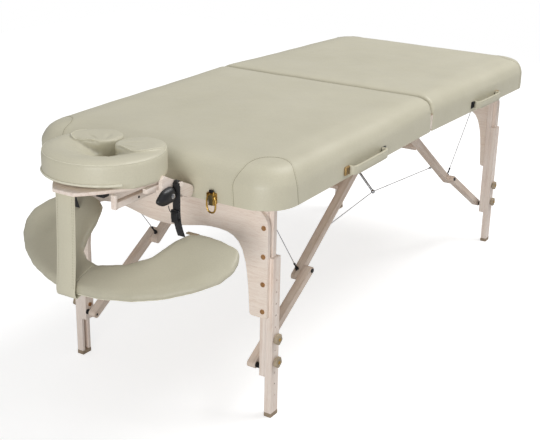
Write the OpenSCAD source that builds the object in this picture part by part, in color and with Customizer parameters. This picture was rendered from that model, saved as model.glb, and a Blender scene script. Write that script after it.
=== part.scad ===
// Folding massage table with a face cradle and an arm shelf.
// Millimetres, Z up, head end towards -X, carrying handles towards -Y,
// origin on the floor under the centre hinge.

/* [Table top] */
// length over both halves
table_length = 1854; // [1780:2:1920]
// width over the cushions
table_width = 828; // [790:2:860]
// height of the cushion top at the centre hinge
table_height = 761; // [720:1:800]
// thickness of the cushion above its deck
pad_thickness = 57; // [42:1:77]
// thickness of the deck board
deck_thickness = 4; // [3:0.5:8]
// thickness of the wooden rails
rail_thickness = 20; // [16:0.5:24]
// rise of each half towards the centre hinge, degrees
arch_angle = 0.87; // [0:0.01:1.5]
// plan radius of the four outer corners
corner_radius = 95; // [70:1:120]
// radius of the rolled cushion edge
edge_roll = 44; // [25:1:44]
// width of the roll where the halves meet
valley_roll = 14; // [6:1:24]
// fall of the cushion top from its middle to the roll
crown_fall = 3; // [1:0.5:6]
// thickness of the vinyl cover below the cushion
cover_thickness = 1.7; // [1:0.1:2]

/* [Legs] */
// distance from the table end to the leg pivot
leg_inset = 110; // [100:1:130]
// distance from the long edge of the table to the inner faces of the legs
leg_side_gap = 104; // [100:1:109]
// size of a leg along the table
leg_depth = 34; // [28:1:38]
// thickness of the upper leg bar
bar_thickness = 18; // [14:0.5:22]
// thickness of the leg extension
extension_thickness = 22; // [20:0.5:26]
// height of the lower end of the upper leg
bar_end_height = 122; // [110:1:130]
// height of the top of the leg extension
extension_top = 475; // [450:1:500]
// width of the groove in the extension
groove_width = 16; // [12:0.5:18]
// thickness of the web outside the groove
web_thickness = 8; // [6:0.5:10]
// distance between the height holes
hole_pitch = 34.5; // [32:0.5:36]
// height of the lowest height hole
lowest_hole = 65; // [60:1:70]
// number of height holes
hole_count = 11; // [11:1:11]
// diameter of the height bolts
height_bolt_diameter = 6; // [5:0.5:8]
// diameter of the height knobs
knob_diameter = 33; // [28:1:33]
// thickness of the height knobs
knob_thickness = 14; // [10:1:16]
// height of the rubber feet
foot_height = 12; // [8:1:18]

/* [End panels] */
// thickness of the arched end panel
panel_thickness = 12; // [9:0.5:15]
// reach of the end panel past the inner faces of the legs
panel_reach = 28; // [24:1:32]
// height of the end panel
panel_height = 309; // [295:1:320]
// drop of the end panel below the pivots of the legs
panel_drop = 54.6; // [50:0.1:64]
// radius of the brass cup washers
washer_radius = 7; // [5:0.5:8]

/* [Braces] */
// size of the links across the table
link_thickness = 25; // [22:0.5:25]
// width of the links seen from the side
link_width = 22; // [18:0.5:24]
// distance from the inner faces of the legs to those of the upper links
link_setback = 63.5; // [60:0.5:70]
// distance from the centre hinge to the upper link pivot
link_pivot_inset = 60; // [50:1:75]
// height of the bolt at the lower end of the lower link
link_end_height = 148; // [140:1:156]
// drop of the knee below the straight line
knee_drop = 14; // [8:1:18]
// length of the upper link past the knee
link_tail = 30; // [20:1:40]
// diameter of the pivot pins and knee bolts
pivot_diameter = 8; // [6:0.5:10]
// distance from the upper pivot to the crossbar
crossbar_distance = 259; // [240:1:280]
// length of the centre struts below the hinge
strut_drop = 240; // [220:1:250]
// distance from the upper links to the lower end of a strut
strut_setback = 26.5; // [19:0.5:46]
// diameter of the stay cables
cable_diameter = 2.6; // [2:0.1:4]

/* [Handles and latch] */
// distance from the centre hinge to the nearer handle bracket
handle_start = 345; // [330:1:360]
// distance between the two brackets of a handle
handle_span = 228; // [210:1:240]
// reach of the handle from the side of the table
handle_reach = 30; // [26:1:36]
// height of the handle strap
handle_height = 25; // [20:1:30]
// width of the latch plate
latch_width = 26; // [20:1:32]

/* [Face cradle] */
// distance from the middle to each cradle post
post_offset = 105; // [100:1:112]
// diameter of the cradle posts
post_diameter = 16; // [14:0.5:18]
// distance from the middle to the outer face of the side plates
plate_outer = 162; // [160:1:166]
// distance from the table end to the tilt bolt
tilt_distance = 112; // [106:1:118]
// height of the tilt bolt above the rail bottoms
tilt_rise = 40; // [36:1:44]
// radius of the black cam knob
cam_radius = 22; // [18:1:22]
// distance from the table end to the middle of the face pillow
pillow_distance = 205; // [198:1:212]
// half length of the face pillow
pillow_half_length = 150; // [142:1:156]
// half width of the face pillow
pillow_half_width = 140; // [134:1:146]
// thickness of the face pillow
pillow_height = 72; // [60:1:80]
// thickness of the platform under the pillow
platform_thickness = 9; // [6:0.5:12]

/* [Arm shelf] */
// drop of the back ends of the arm shelf below the centre hinge
shelf_drop = 72; // [68:1:80]
// fall of the arm shelf from its back ends to its front edge
shelf_fall = 119; // [112:1:126]
// distance from the table end to the back ends of the arm shelf
shelf_gap = 13; // [11:1:16]
// depth of the arm shelf from back to front
shelf_depth = 290; // [280:1:300]
// thickness of the arm shelf
shelf_thickness = 26; // [20:1:28]
// reach of the arm shelf to the near side
shelf_reach = 373; // [360:1:380]
// width of the front strap
front_strap_width = 46; // [40:1:52]
// distance from the table end to the top of the front strap
strap_distance = 294; // [288:1:300]
// length of the front strap under the shelf
strap_return = 80; // [60:1:100]
// width of the webbing straps
webbing_width = 20; // [16:1:24]
// drop of the buckles below the studs of the webbing straps
buckle_drop = 81; // [76:1:86]

/* [Hidden] */
$fn = 48;
overrun = 1;
seam_gap = 0.3;
butt_gap = 0.5;
running_gap = 0.05;
slide_gap = 0.5;
fold_gap = 2;
deck_gap = 4;
half_turn = 180;
quarter_turn = 90;
corner_steps = 8;
leaf_thickness = 2.5;
leaf_length = 80;
knuckle_radius = 5;
knuckle_half = 13.5;
hinge_pin_radius = 2.5;
hinge_offset = 250;
centre_lug_length = 13;
sleeve_half = 30;
sleeve_radius = 5.5;
cove_radius = 8;
strut_plate = 6;
strut_radius = 4;
strut_notch = 12;
strut_root = 26;
strut_node_radius = 7;
pivot_plate = 3;
pivot_boss = 14;
link_boss = 10.5;
screw_radius = 2.2;
screw_depth = 26;
nut_radius = 6;
nut_height = 3;
bracket_width = 25;
bracket_plate = 2.5;
strap_thickness = 5;
latch_place_share = 0.534;
latch_height = 28;
latch_plate = 2.5;
ferrule_length = 18;
ferrule_radius = 2.6;
terminal_size = 12;
strap_sheet = 3;
webbing_sheet = 2;
buckle_width = 24;
buckle_sheet = 4;
full_circle = 360;

half_length = table_length / 2;
half_width = table_width / 2;
cover_gap = cover_thickness + seam_gap;
rail_height = panel_thickness + leg_depth + fold_gap + deck_gap;
deck_top = rail_height + deck_thickness;
apron = deck_top + pad_thickness;
axis_height = table_height - apron;
leg_inner = half_width - leg_side_gap;
link_inner = leg_inner - link_setback;
strut_spread = link_inner - strut_setback;
latch_offset = half_width * latch_place_share;
panel_half_width = leg_inner + panel_reach;
leg_pivot_u = half_length - leg_inset;
leg_pivot_w = panel_thickness + leg_depth / 2 + fold_gap;
bar_outer = leg_inner + bar_thickness;
extension_outer = bar_outer + extension_thickness;
tongue_reach = extension_thickness - web_thickness - slide_gap;
tongue_half = groove_width / 2 - slide_gap;
post_share = 0.424;
post_height = rail_height * post_share;
pin_radius = pivot_diameter / 2;
bolt_radius = height_bolt_diameter / 2;
upper_knob_hole = 5;
lower_knob_hole = 3;
raise_steps = 1;
lower_steps = 3;
link_pivot_w = link_width / 2 + overrun;
lower_link_inner = link_inner + link_thickness + slide_gap;
lower_link_outer = lower_link_inner + link_thickness;
link_end_share = 0.294;
link_end_offset = leg_depth * link_end_share;

// place on a half, distance from the hinge and height above the rail bottoms, in the table's own frame
function half_x(u, w) = u * cos(arch_angle) + w * sin(arch_angle);
function half_z(u, w) = axis_height - u * sin(arch_angle) + w * cos(arch_angle);
leg_x = half_x(leg_pivot_u, leg_pivot_w);
leg_z = half_z(leg_pivot_u, leg_pivot_w);
panel_top = leg_z - panel_drop;
panel_bottom = panel_top - panel_height;
link_x = half_x(link_pivot_inset, link_pivot_w);
link_z = half_z(link_pivot_inset, link_pivot_w);
end_x = leg_x + link_end_offset;
end_z = link_end_height;
open_length = norm([end_x - link_x, end_z - link_z]);
folded_length = norm([leg_pivot_u - (leg_z - end_z) - link_pivot_inset, leg_pivot_w - link_end_offset - link_pivot_w]);
upper_run = (open_length + folded_length) / 2;
brace_dir = [(end_x - link_x) / open_length, (end_z - link_z) / open_length];
brace_down = [brace_dir[1], -brace_dir[0]];
knee_x = link_x + upper_run * brace_dir[0] + knee_drop * brace_down[0];
knee_z = link_z + upper_run * brace_dir[1] + knee_drop * brace_down[1];
upper_length = norm([knee_x - link_x, knee_z - link_z]);
upper_angle = atan2(knee_z - link_z, knee_x - link_x);
lower_length = norm([end_x - knee_x, end_z - knee_z]);
lower_angle = atan2(end_z - knee_z, end_x - knee_x);

// node to draw, or all of them

// frames: a half drawn with its hinge at the origin and its length towards -X
module head_half() {
    translate([0, 0, axis_height]) rotate([0, -arch_angle, 0]) mirror([1, 0, 0]) children();
}
module foot_half() {
    mirror([1, 0, 0]) head_half() children();
}
module head_end() {
    mirror([1, 0, 0]) children();
}
module both_sides() {
    children();
    mirror([0, 1, 0]) children();
}
module y_bar(radius, y_from, y_to) {
    translate([0, y_from, 0]) rotate([-quarter_turn, 0, 0]) cylinder(r = radius, h = y_to - y_from);
}
module x_bar(radius, x_from, x_to) {
    translate([x_from, 0, 0]) rotate([0, quarter_turn, 0]) cylinder(r = radius, h = x_to - x_from);
}
module block(x_from, x_to, y_from, y_to, z_from, z_to) {
    translate([x_from, y_from, z_from]) cube([x_to - x_from, y_to - y_from, z_to - z_from]);
}
module rod(from, to, radius) {
    span = to - from;
    translate(from)
        rotate([0, acos(span[2] / norm(span)), atan2(span[1], span[0])])
            cylinder(r = radius, h = norm(span));
}

// plan of a half, square at the hinge and rounded at the end
module half_plan(inset, hinge_inset) {
    radius = corner_radius - inset;
    translate([hinge_inset, -half_width + inset])
        square([half_length - corner_radius - hinge_inset, table_width - 2 * inset]);
    translate([half_length - corner_radius - overrun, -half_width + corner_radius])
        square([corner_radius - inset + overrun, table_width - 2 * corner_radius]);
    for (side = [-1, 1])
        translate([half_length - corner_radius, side * (half_width - corner_radius)]) circle(r = radius);
}

// one ring of the cushion, counted round its plan
function arc_points(cx, cy, radius, start) =
    [for (i = [0 : corner_steps]) let (a = start + i * quarter_turn / corner_steps) [cx + radius * cos(a), cy + radius * sin(a)]];
function pad_ring(inset, hinge_inset, hinge_radius, w) =
    [for (p = concat(
        arc_points(half_length - corner_radius, half_width - corner_radius, corner_radius - inset, 0),
        arc_points(hinge_inset + hinge_radius, half_width - inset - hinge_radius, hinge_radius, quarter_turn),
        arc_points(hinge_inset + hinge_radius, -half_width + inset + hinge_radius, hinge_radius, half_turn),
        arc_points(half_length - corner_radius, -half_width + corner_radius, corner_radius - inset, half_turn + quarter_turn)))
        [p[0], p[1], w]];
module stacked_rings(rings) {
    n = len(rings[0]);
    m = len(rings);
    points = [for (r = rings) for (p = r) p];
    sides = [for (k = [0 : m - 2]) for (i = [0 : n - 1])
        let (j = (i + 1) % n)
        each [[k * n + i, (k + 1) * n + i, (k + 1) * n + j], [k * n + i, (k + 1) * n + j, k * n + j]]];
    polyhedron(points, concat([[for (i = [0 : n - 1]) i]], sides, [[for (i = [n - 1 : -1 : 0]) (m - 1) * n + i]]));
}

// cushion of one half with the skirt of its cover round the rails, seamed beside the windows for the posts
post_window = post_diameter / 2 + overrun;
roll_shares = [0, 0.18, 0.38, 0.6, 0.82, 0.98];
roll_base = apron - crown_fall - edge_roll;
side_draw = 2;
hinge_corner = 10;
crown_width = 90;
crown_inset = edge_roll + crown_width;
module pad() {
    stacked_rings(concat(
        [pad_ring(side_draw, butt_gap, hinge_corner, deck_top + seam_gap),
         pad_ring(side_draw / 3, butt_gap, hinge_corner, deck_top + (roll_base - deck_top) / 2)],
        [for (s = roll_shares)
            pad_ring(edge_roll * (1 - cos(quarter_turn * s)), butt_gap + valley_roll * (1 - cos(quarter_turn * s)), hinge_corner,
                roll_base + edge_roll * sin(quarter_turn * s))],
        [pad_ring(crown_inset - corner_radius / 2, butt_gap + valley_roll + crown_inset / 2, hinge_corner, apron)]));
    difference() {
        linear_extrude(height = deck_top) half_plan(0, butt_gap);
        translate([0, 0, -overrun]) linear_extrude(height = apron) half_plan(cover_thickness, -overrun);
        for (side = [-1, 1])
            translate([half_length, side * post_offset, 0]) {
                block(-corner_radius, overrun, -post_window, post_window, post_height - post_window, post_height + post_window);
                for (edge = [-post_window - seam_gap, post_window])
                    block(-corner_radius, overrun, edge, edge + seam_gap, -overrun, apron);
            }
    }
}
module deck() {
    translate([0, 0, rail_height]) linear_extrude(height = deck_thickness) half_plan(cover_gap, butt_gap);
}
module side_rails() {
    both_sides()
        block(butt_gap + rail_thickness, half_length - corner_radius, half_width - cover_gap - rail_thickness, half_width - cover_gap, 0, rail_height);
}
module cross_rails() {
    difference() {
        union() {
            intersection() {
                linear_extrude(height = rail_height) half_plan(cover_gap, butt_gap);
                block(half_length - corner_radius, half_length, -half_width, half_width, -overrun, apron);
            }
            block(butt_gap, butt_gap + rail_thickness, -half_width + cover_gap, half_width - cover_gap, 0, rail_height);
        }
        intersection() {
            translate([0, 0, -overrun]) linear_extrude(height = apron) half_plan(cover_gap + rail_thickness, butt_gap + rail_thickness);
            block(half_length - corner_radius - overrun, half_length, -half_width, half_width, -overrun, apron);
        }
        for (side = [-1, 1])
            translate([0, side * post_offset, post_height])
                x_bar(post_diameter / 2 + running_gap, half_length - corner_radius, half_length);
        y_bar(cove_radius, -half_width, half_width);
        both_sides() {
            block(0, rail_thickness + overrun, hinge_offset - leaf_length / 2 - seam_gap, hinge_offset + leaf_length / 2 + seam_gap, -overrun, leaf_thickness + seam_gap);
            block(0, rail_thickness + overrun, sleeve_half, sleeve_half + 2 * centre_lug_length + 4 * seam_gap + overrun, -overrun, leaf_thickness + seam_gap);
        }
        block(0, rail_thickness + overrun, -sleeve_half - overrun, sleeve_half + overrun, -overrun, strut_notch);
    }
}

// hinge leaves let into the undersides of the middle rails
module knuckle(y_from, y_to) {
    difference() {
        union() {
            y_bar(knuckle_radius, y_from, y_to);
            block(knuckle_radius - overrun, knuckle_radius + 2 * overrun, y_from, y_to, seam_gap, seam_gap + leaf_thickness);
        }
        y_bar(hinge_pin_radius + running_gap, y_from - overrun, y_to + overrun);
    }
}
module hinge_leaves(outer) {
    both_sides() {
        translate([0, hinge_offset, 0]) {
            block(knuckle_radius + overrun, rail_thickness, -leaf_length / 2, leaf_length / 2, seam_gap, seam_gap + leaf_thickness);
            if (outer) both_sides() knuckle(knuckle_half + seam_gap, leaf_length / 2);
            else knuckle(-knuckle_half, knuckle_half);
        }
        translate([0, sleeve_half + seam_gap + (outer ? centre_lug_length + 2 * seam_gap : seam_gap), 0]) {
            block(knuckle_radius + overrun, rail_thickness, 0, centre_lug_length, seam_gap, seam_gap + leaf_thickness);
            knuckle(0, centre_lug_length);
        }
    }
}
module hinge_pins() {
    translate([0, 0, axis_height]) {
        both_sides() y_bar(hinge_pin_radius, hinge_offset - leaf_length / 2 - overrun, hinge_offset + leaf_length / 2 + overrun);
        pin_half = sleeve_half + 2 * centre_lug_length + 5 * seam_gap;
        y_bar(hinge_pin_radius, -pin_half, pin_half);
    }
}
// inverted V of struts on the centre pin
module centre_struts() {
    translate([0, 0, axis_height]) difference() {
        union() {
            y_bar(sleeve_radius, -sleeve_half, sleeve_half);
            block(-strut_plate / 2, strut_plate / 2, -strut_root, strut_root, -strut_root - strut_radius, 0);
            both_sides() {
                rod([0, strut_root - 2 * strut_radius, -strut_root], [0, strut_spread, -strut_drop], strut_radius);
                translate([0, strut_spread, -strut_drop]) sphere(r = strut_node_radius, $fn = 24);
            }
        }
        y_bar(hinge_pin_radius + running_gap, -sleeve_half - overrun, sleeve_half + overrun);
    }
}

// steel plates and pins that carry the legs and the upper links
module pivot_plate_pair(u, w, y_inner, y_outer, boss) {
    translate([u, 0, 0]) {
        for (y = [y_inner - pivot_plate - slide_gap, y_outer + slide_gap]) {
            block(-boss, boss, y, y + pivot_plate, w, rail_height);
            translate([0, 0, w]) y_bar(boss, y, y + pivot_plate);
        }
        translate([0, 0, w]) y_bar(pin_radius, y_inner - pivot_plate - slide_gap, y_outer + pivot_plate + slide_gap);
    }
}
module pivot_plates() {
    both_sides() {
        pivot_plate_pair(leg_pivot_u, leg_pivot_w, leg_inner, bar_outer + tongue_reach, pivot_boss);
        pivot_plate_pair(link_pivot_inset, link_pivot_w, link_inner, link_inner + link_thickness, link_boss);
    }
}

// carrying handle on the near side: a strap bowed out between two brackets
handle_base = -half_width;
handle_share = 0.226;
ramp_share = 0.9;
foot_bow_share = 0.55;
shoulder_bow_share = 0.94;
foot_inner_share = 0.4;
shoulder_inner_shares = [0.5, 0.8];
screw_height_shares = [0.25, 0.75];
countersink_share = 1.5;
handle_low = rail_height * handle_share;
module handle() {
    bow = handle_reach - strap_thickness;
    ramp = bow * ramp_share;
    start = handle_start + bracket_width / 2;
    finish = handle_start + handle_span - bracket_width / 2;
    outer = [[start, -bracket_plate - seam_gap], [start - ramp / 3, -bow * foot_bow_share], [start + ramp / 3, -bow * shoulder_bow_share], [start + ramp, -bow],
        [finish - ramp, -bow], [finish - ramp / 3, -bow * shoulder_bow_share], [finish + ramp / 3, -bow * foot_bow_share], [finish, -bracket_plate - seam_gap]];
    inner = [[finish - strap_thickness, -bracket_plate - seam_gap], [finish + ramp / 3 - strap_thickness, -bow * foot_bow_share + strap_thickness * foot_inner_share],
        [finish - ramp / 3 - strap_thickness * shoulder_inner_shares[0], -bow * shoulder_bow_share + strap_thickness * shoulder_inner_shares[1]], [finish - ramp, -bow + strap_thickness],
        [start + ramp, -bow + strap_thickness], [start + ramp / 3 + strap_thickness * shoulder_inner_shares[0], -bow * shoulder_bow_share + strap_thickness * shoulder_inner_shares[1]],
        [start - ramp / 3 + strap_thickness, -bow * foot_bow_share + strap_thickness * foot_inner_share], [start + strap_thickness, -bracket_plate - seam_gap]];
    translate([0, handle_base, handle_low]) linear_extrude(height = handle_height) polygon(concat(outer, inner));
}
module handle_brackets() {
    for (u = [handle_start, handle_start + handle_span])
        translate([u, handle_base, handle_low]) {
            block(-bracket_width / 2, bracket_width / 2, -bracket_plate, 0, 0, handle_height);
            for (z = handle_height * screw_height_shares)
                translate([0, -bracket_plate - overrun, z]) y_bar(screw_radius * countersink_share, 0, overrun + bracket_plate / 2);
        }
}

// suitcase latch on the head end
latch_share = 0.047;
bail_drop_share = 1.45;
lever_plate_share = 0.62;
bail_start_share = 0.3;
bail_facets = 16;
latch_base = -rail_height * latch_share;
latch_standoff = 5;
latch_axis_out = latch_plate + latch_standoff;
latch_axis_rise = latch_base + latch_height - latch_standoff;
latch_pin_radius = 1.6;
module latch_plate_part() {
    translate([half_length, -latch_offset, 0]) {
        difference() {
            union() {
                block(0, latch_plate, -latch_width / 2, latch_width / 2, latch_base, latch_base + latch_height);
                both_sides() block(latch_plate - overrun, latch_axis_out + latch_pin_radius * 2, latch_width / 2 - latch_plate, latch_width / 2,
                    latch_axis_rise - latch_pin_radius * 2, latch_base + latch_height);
            }
            translate([latch_axis_out, 0, latch_axis_rise]) y_bar(latch_pin_radius + running_gap, -latch_width, latch_width);
        }
    }
}
module latch_lever() {
    lever_half = latch_width / 2 - latch_plate - slide_gap;
    drop = latch_height * bail_drop_share;
    translate([half_length + latch_axis_out, -latch_offset, latch_axis_rise]) {
        y_bar(latch_pin_radius, -latch_width / 2 - overrun, latch_width / 2 + overrun);
        block(-latch_plate / 2, latch_plate / 2, -lever_half, lever_half, -latch_height * lever_plate_share, 0);
        both_sides() translate([0, lever_half - latch_pin_radius, -drop + lever_half]) cylinder(r = latch_pin_radius, h = drop - lever_half - latch_height * bail_start_share);
        translate([0, 0, -drop + lever_half]) rotate([0, quarter_turn, 0]) rotate([0, 0, -quarter_turn])
            rotate_extrude(angle = half_turn) translate([lever_half - latch_pin_radius, 0]) circle(r = latch_pin_radius, $fn = bail_facets);
    }
}

// upper legs, the bars with a tongue that the extensions slide on
module upper_legs() {
    head_end() both_sides() difference() {
        translate([leg_x, 0, 0]) union() {
            block(-leg_depth / 2, leg_depth / 2, leg_inner, bar_outer, bar_end_height, leg_z);
            translate([0, 0, leg_z]) y_bar(leg_depth / 2, leg_inner, bar_outer);
            block(-tongue_half, tongue_half, bar_outer - overrun, bar_outer + tongue_reach, bar_end_height, leg_z);
            translate([0, 0, leg_z]) y_bar(tongue_half, bar_outer - overrun, bar_outer + tongue_reach);
        }
        translate([leg_x, 0, leg_z]) y_bar(pin_radius + running_gap, leg_inner - overrun, extension_outer);
        block(leg_x - bolt_radius - slide_gap, leg_x + bolt_radius + slide_gap, bar_outer + overrun, extension_outer,
            knob_z(lower_knob_hole) - raise_steps * hole_pitch - bolt_radius - overrun,
            knob_z(upper_knob_hole) + lower_steps * hole_pitch + bolt_radius + overrun);
        screw_holes();
    }
}
function knob_z(index) = lowest_hole + index * hole_pitch;
screw_shares = [0.06, 0.315, 0.57, 0.83];
screw_bar_share = 0.78;
boss_share = 0.55;
screw_y = leg_inner + bar_thickness * screw_bar_share;
panel_face = leg_x + leg_depth / 2 + panel_thickness;
module screw_holes() {
    for (s = screw_shares)
        translate([0, screw_y, panel_bottom + s * panel_height])
            x_bar(screw_radius, panel_face - screw_depth, panel_face + overrun);
}
// arched end panel on the outward faces of the upper legs
shoulder_radius = 52;
toe_radius = 9;
arch_inner_shares = [[0.838, 0], [0.832, 0.12], [0.825, 0.25], [0.813, 0.37], [0.797, 0.48], [0.766, 0.59], [0.73, 0.655], [0.68, 0.7], [0.62, 0.724], [0.54, 0.733],
    [0.46, 0.732], [0.38, 0.722], [0.3, 0.704], [0.22, 0.684], [0.14, 0.668], [0.07, 0.661], [0, 0.66]];
module end_panel_plan() {
    outer = concat(
        [[0, panel_top]],
        [for (i = [0 : corner_steps]) let (a = quarter_turn - i * quarter_turn / corner_steps)
            [panel_half_width - shoulder_radius + shoulder_radius * cos(a), panel_top - shoulder_radius + shoulder_radius * sin(a)]],
        [[panel_half_width, panel_bottom]]);
    toe = [for (i = [0 : 4]) let (a = -quarter_turn - i * quarter_turn / 4)
        [arch_inner_shares[0][0] * panel_half_width + toe_radius + toe_radius * cos(a), panel_bottom + toe_radius + toe_radius * sin(a)]];
    inner = [for (p = arch_inner_shares) if (p[1] > 0) [p[0] * panel_half_width, panel_bottom + p[1] * panel_height]];
    right = concat(outer, toe, inner);
    left = [for (i = [len(right) - 2 : -1 : 1]) [-right[i][0], right[i][1]]];
    polygon(concat(right, left));
}
module end_panel() {
    head_end() difference() {
        translate([panel_face, 0, 0]) rotate([quarter_turn, 0, 0]) rotate([0, -quarter_turn, 0])
            linear_extrude(height = panel_thickness) end_panel_plan();
        both_sides() screw_holes();
    }
}
// brass screws with cup washers, and the black nuts on the inner faces
module leg_screws() {
    head_end() both_sides() {
        for (s = screw_shares)
            translate([0, screw_y, panel_bottom + s * panel_height]) {
                x_bar(screw_radius, panel_face - screw_depth, panel_face);
                x_bar(washer_radius, panel_face, panel_face + overrun);
                x_bar(washer_radius * boss_share, panel_face + overrun / 2, panel_face + 2 * overrun);
            }
        for (index = [lower_knob_hole, upper_knob_hole])
            translate([leg_x, 0, knob_z(index)]) y_bar(nut_radius, leg_inner - nut_height, leg_inner);
    }
}

// leg extension, a channel open towards the table
module extension() {
    difference() {
        block(leg_x - leg_depth / 2, leg_x + leg_depth / 2, bar_outer + seam_gap, extension_outer, foot_height, extension_top);
        block(leg_x - groove_width / 2, leg_x + groove_width / 2, bar_outer - overrun, extension_outer - web_thickness, foot_height - overrun, extension_top + overrun);
        for (index = [0 : hole_count - 1])
            translate([leg_x, 0, knob_z(index)]) y_bar(bolt_radius + running_gap, bar_outer, extension_outer + overrun);
    }
}
module rubber_foot() {
    lip = overrun / 2;
    block(leg_x - leg_depth / 2 - lip, leg_x + leg_depth / 2 + lip, bar_outer + seam_gap - lip, extension_outer + lip, 0, foot_height);
}
knob_lobes = 5;
neck_share = 0.3;
lobe_place_share = 0.27;
lobe_share = 0.23;
knob_back_share = 0.25;
knob_heart_share = 0.38;
bolt_start_share = 4;
module knob(index) {
    knob_back = extension_outer + knob_thickness * knob_back_share;
    translate([leg_x, 0, knob_z(index)]) {
        y_bar(bolt_radius, bar_outer + overrun * bolt_start_share, extension_outer + overrun);
        y_bar(knob_diameter * neck_share, extension_outer, extension_outer + knob_thickness * neck_share);
        for (turn = [0 : knob_lobes - 1])
            rotate([0, turn * full_circle / knob_lobes, 0]) translate([knob_diameter * lobe_place_share, 0, 0])
                y_bar(knob_diameter * lobe_share, knob_back, extension_outer + knob_thickness);
        y_bar(knob_diameter * knob_heart_share, knob_back, extension_outer + knob_thickness);
    }
}

// two-piece braces between the hinge end of each half and the legs
module link(length, tail, y_from, y_to) {
    block(0, length + tail, y_from, y_to, -link_width / 2, link_width / 2);
    y_bar(link_width / 2, y_from, y_to);
    translate([length + tail, 0, 0]) y_bar(link_width / 2, y_from, y_to);
}
crossbar_drop_share = 0.7;
crossbar_rise_share = 0.05;
module upper_links() {
    head_end() translate([link_x, 0, link_z]) rotate([0, -upper_angle, 0]) {
        both_sides() difference() {
            link(upper_length, link_tail, link_inner, link_inner + link_thickness);
            y_bar(pin_radius + running_gap, link_inner - overrun, lower_link_inner);
        }
        block(crossbar_distance - link_width / 2, crossbar_distance + link_width / 2, -link_inner, link_inner, -link_width * crossbar_drop_share, link_width * crossbar_rise_share);
    }
}
module lower_links() {
    head_end() translate([knee_x, 0, knee_z]) rotate([0, -lower_angle, 0])
        both_sides() difference() {
            link(lower_length, 0, lower_link_inner, lower_link_outer);
            y_bar(pin_radius, link_inner, lower_link_outer + overrun);
            translate([lower_length, 0, 0]) y_bar(pin_radius + running_gap, link_inner, lower_link_outer + overrun);
        }
}
// bolts through the knees, carried by the lower links
nut_share = 1.6;
washer_pin_share = 2;
module knee_bolts() {
    head_end() both_sides() translate([knee_x, 0, knee_z]) {
        y_bar(pin_radius, lower_link_inner, lower_link_outer + overrun);
        y_bar(pin_radius * nut_share, lower_link_outer, lower_link_outer + nut_height);
    }
}
// pins that stand in from the legs and carry the lower links
module leg_pins() {
    head_end() both_sides() translate([end_x, 0, end_z]) {
        y_bar(pin_radius, lower_link_inner + seam_gap, leg_inner);
        y_bar(pin_radius * washer_pin_share, lower_link_outer + slide_gap, leg_inner);
    }
}

// stay cables: from the strut ends to the upper links, and from the legs' tops to the knees
link_point_share = 0.79;
function brace_point(along, down, y) =
    [-(link_x + along * cos(upper_angle) + down * sin(upper_angle)), y, link_z + along * sin(upper_angle) - down * cos(upper_angle)];
truss_point = brace_point(upper_length * link_point_share, link_width / 2, link_inner - terminal_size / 2 - seam_gap);
knee_point = brace_point(upper_length + link_tail * 0.5, -link_width / 2 - terminal_size / 2 - seam_gap, link_inner + link_thickness / 2);
cable_setback = 38;
top_point = [-half_x(leg_pivot_u + leg_depth / 2, rail_height), leg_inner - cable_setback, half_z(leg_pivot_u + leg_depth / 2, rail_height) - ferrule_radius * 2];
module cable_end(from, to) {
    direction = (from - to) / norm(from - to);
    rod(to + direction * ferrule_length / 3, to + direction * ferrule_length * 1.3, ferrule_radius);
    translate(to) sphere(r = terminal_size / 2, $fn = 12);
}
module truss_cables() {
    strut_end = [0, strut_spread, axis_height - strut_drop];
    for (flip = [0, 1]) mirror([flip, 0, 0]) both_sides() {
        span = truss_point - strut_end;
        rod(strut_end + span * (strut_node_radius + overrun) / norm(span), truss_point, cable_diameter / 2);
        cable_end(strut_end, truss_point);
    }
}
module knee_cables() {
    for (flip = [0, 1]) mirror([flip, 0, 0]) both_sides() {
        rod(top_point, knee_point, cable_diameter / 2);
        cable_end(top_point, knee_point);
        translate(top_point) sphere(r = ferrule_radius * 2 - seam_gap, $fn = 12);
    }
}

// face cradle: posts in the head end's sockets, a crossbar and two side plates
cradle_gap = 16;
cradle_bar_width = 22;
bar_share = 0.8;
cradle_bar_from = half_length + cradle_gap;
cradle_bar_to = cradle_bar_from + cradle_bar_width;
plate_gap = 2;
plate_radius = 18;
heel_radius = 17;
notch_radius = 30;
notch_drop = 24;
notch_share = 0.54;
// corners of a side plate in shares of its radius round the tilt bolt and of its heel radius
plate_tip_shares = [[-1.11, 2], [0.33, 2.78], [0.89, 2.44], [1, -0.33], [0, -1], [-1, -0.33]];
plate_heel_shares = [[-0.294, -1], [-0.294, 1]];
heel_u = half_length + plate_gap + heel_radius;
arm_radius = 14;
arm_depth = 20;
arm_share = 0.35;
gusset_from = 10;
gusset_to = 34;
gusset_depth = 12;
pillow_overhang = 12;
cam_thickness = 17;
cam_boss = 3;
cam_nut = 5;
stud_rise = 24;
washer_share = 1.7;
platform_rise = 28;
tilt_u = half_length + tilt_distance;
stud_radius = 4;
stud_u = tilt_u - cam_radius - webbing_sheet - stud_radius - 2 * overrun;
stud_w = tilt_rise + stud_rise;
webbing_y = plate_outer + webbing_width / 2 + overrun;
plate_thickness = 12;
arm_thickness = 14;
arm_outer = plate_outer - plate_thickness - slide_gap;
tilt_bolt_radius = 5;
platform_bottom = tilt_rise + platform_rise;
platform_top = platform_bottom + platform_thickness;
module cradle_base() {
    for (side = [-1, 1])
        translate([0, side * post_offset, post_height])
            x_bar(post_diameter / 2, half_length - post_diameter * 4, cradle_bar_to - overrun);
    difference() {
        block(cradle_bar_from, cradle_bar_to, -plate_outer + plate_thickness, plate_outer - plate_thickness, post_height - post_diameter * bar_share, post_height + post_diameter * bar_share);
        for (side = [-1, 1])
            translate([0, side * post_offset, post_height])
                x_bar(post_diameter / 2, cradle_bar_from - overrun, cradle_bar_to - overrun);
    }
}
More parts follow.
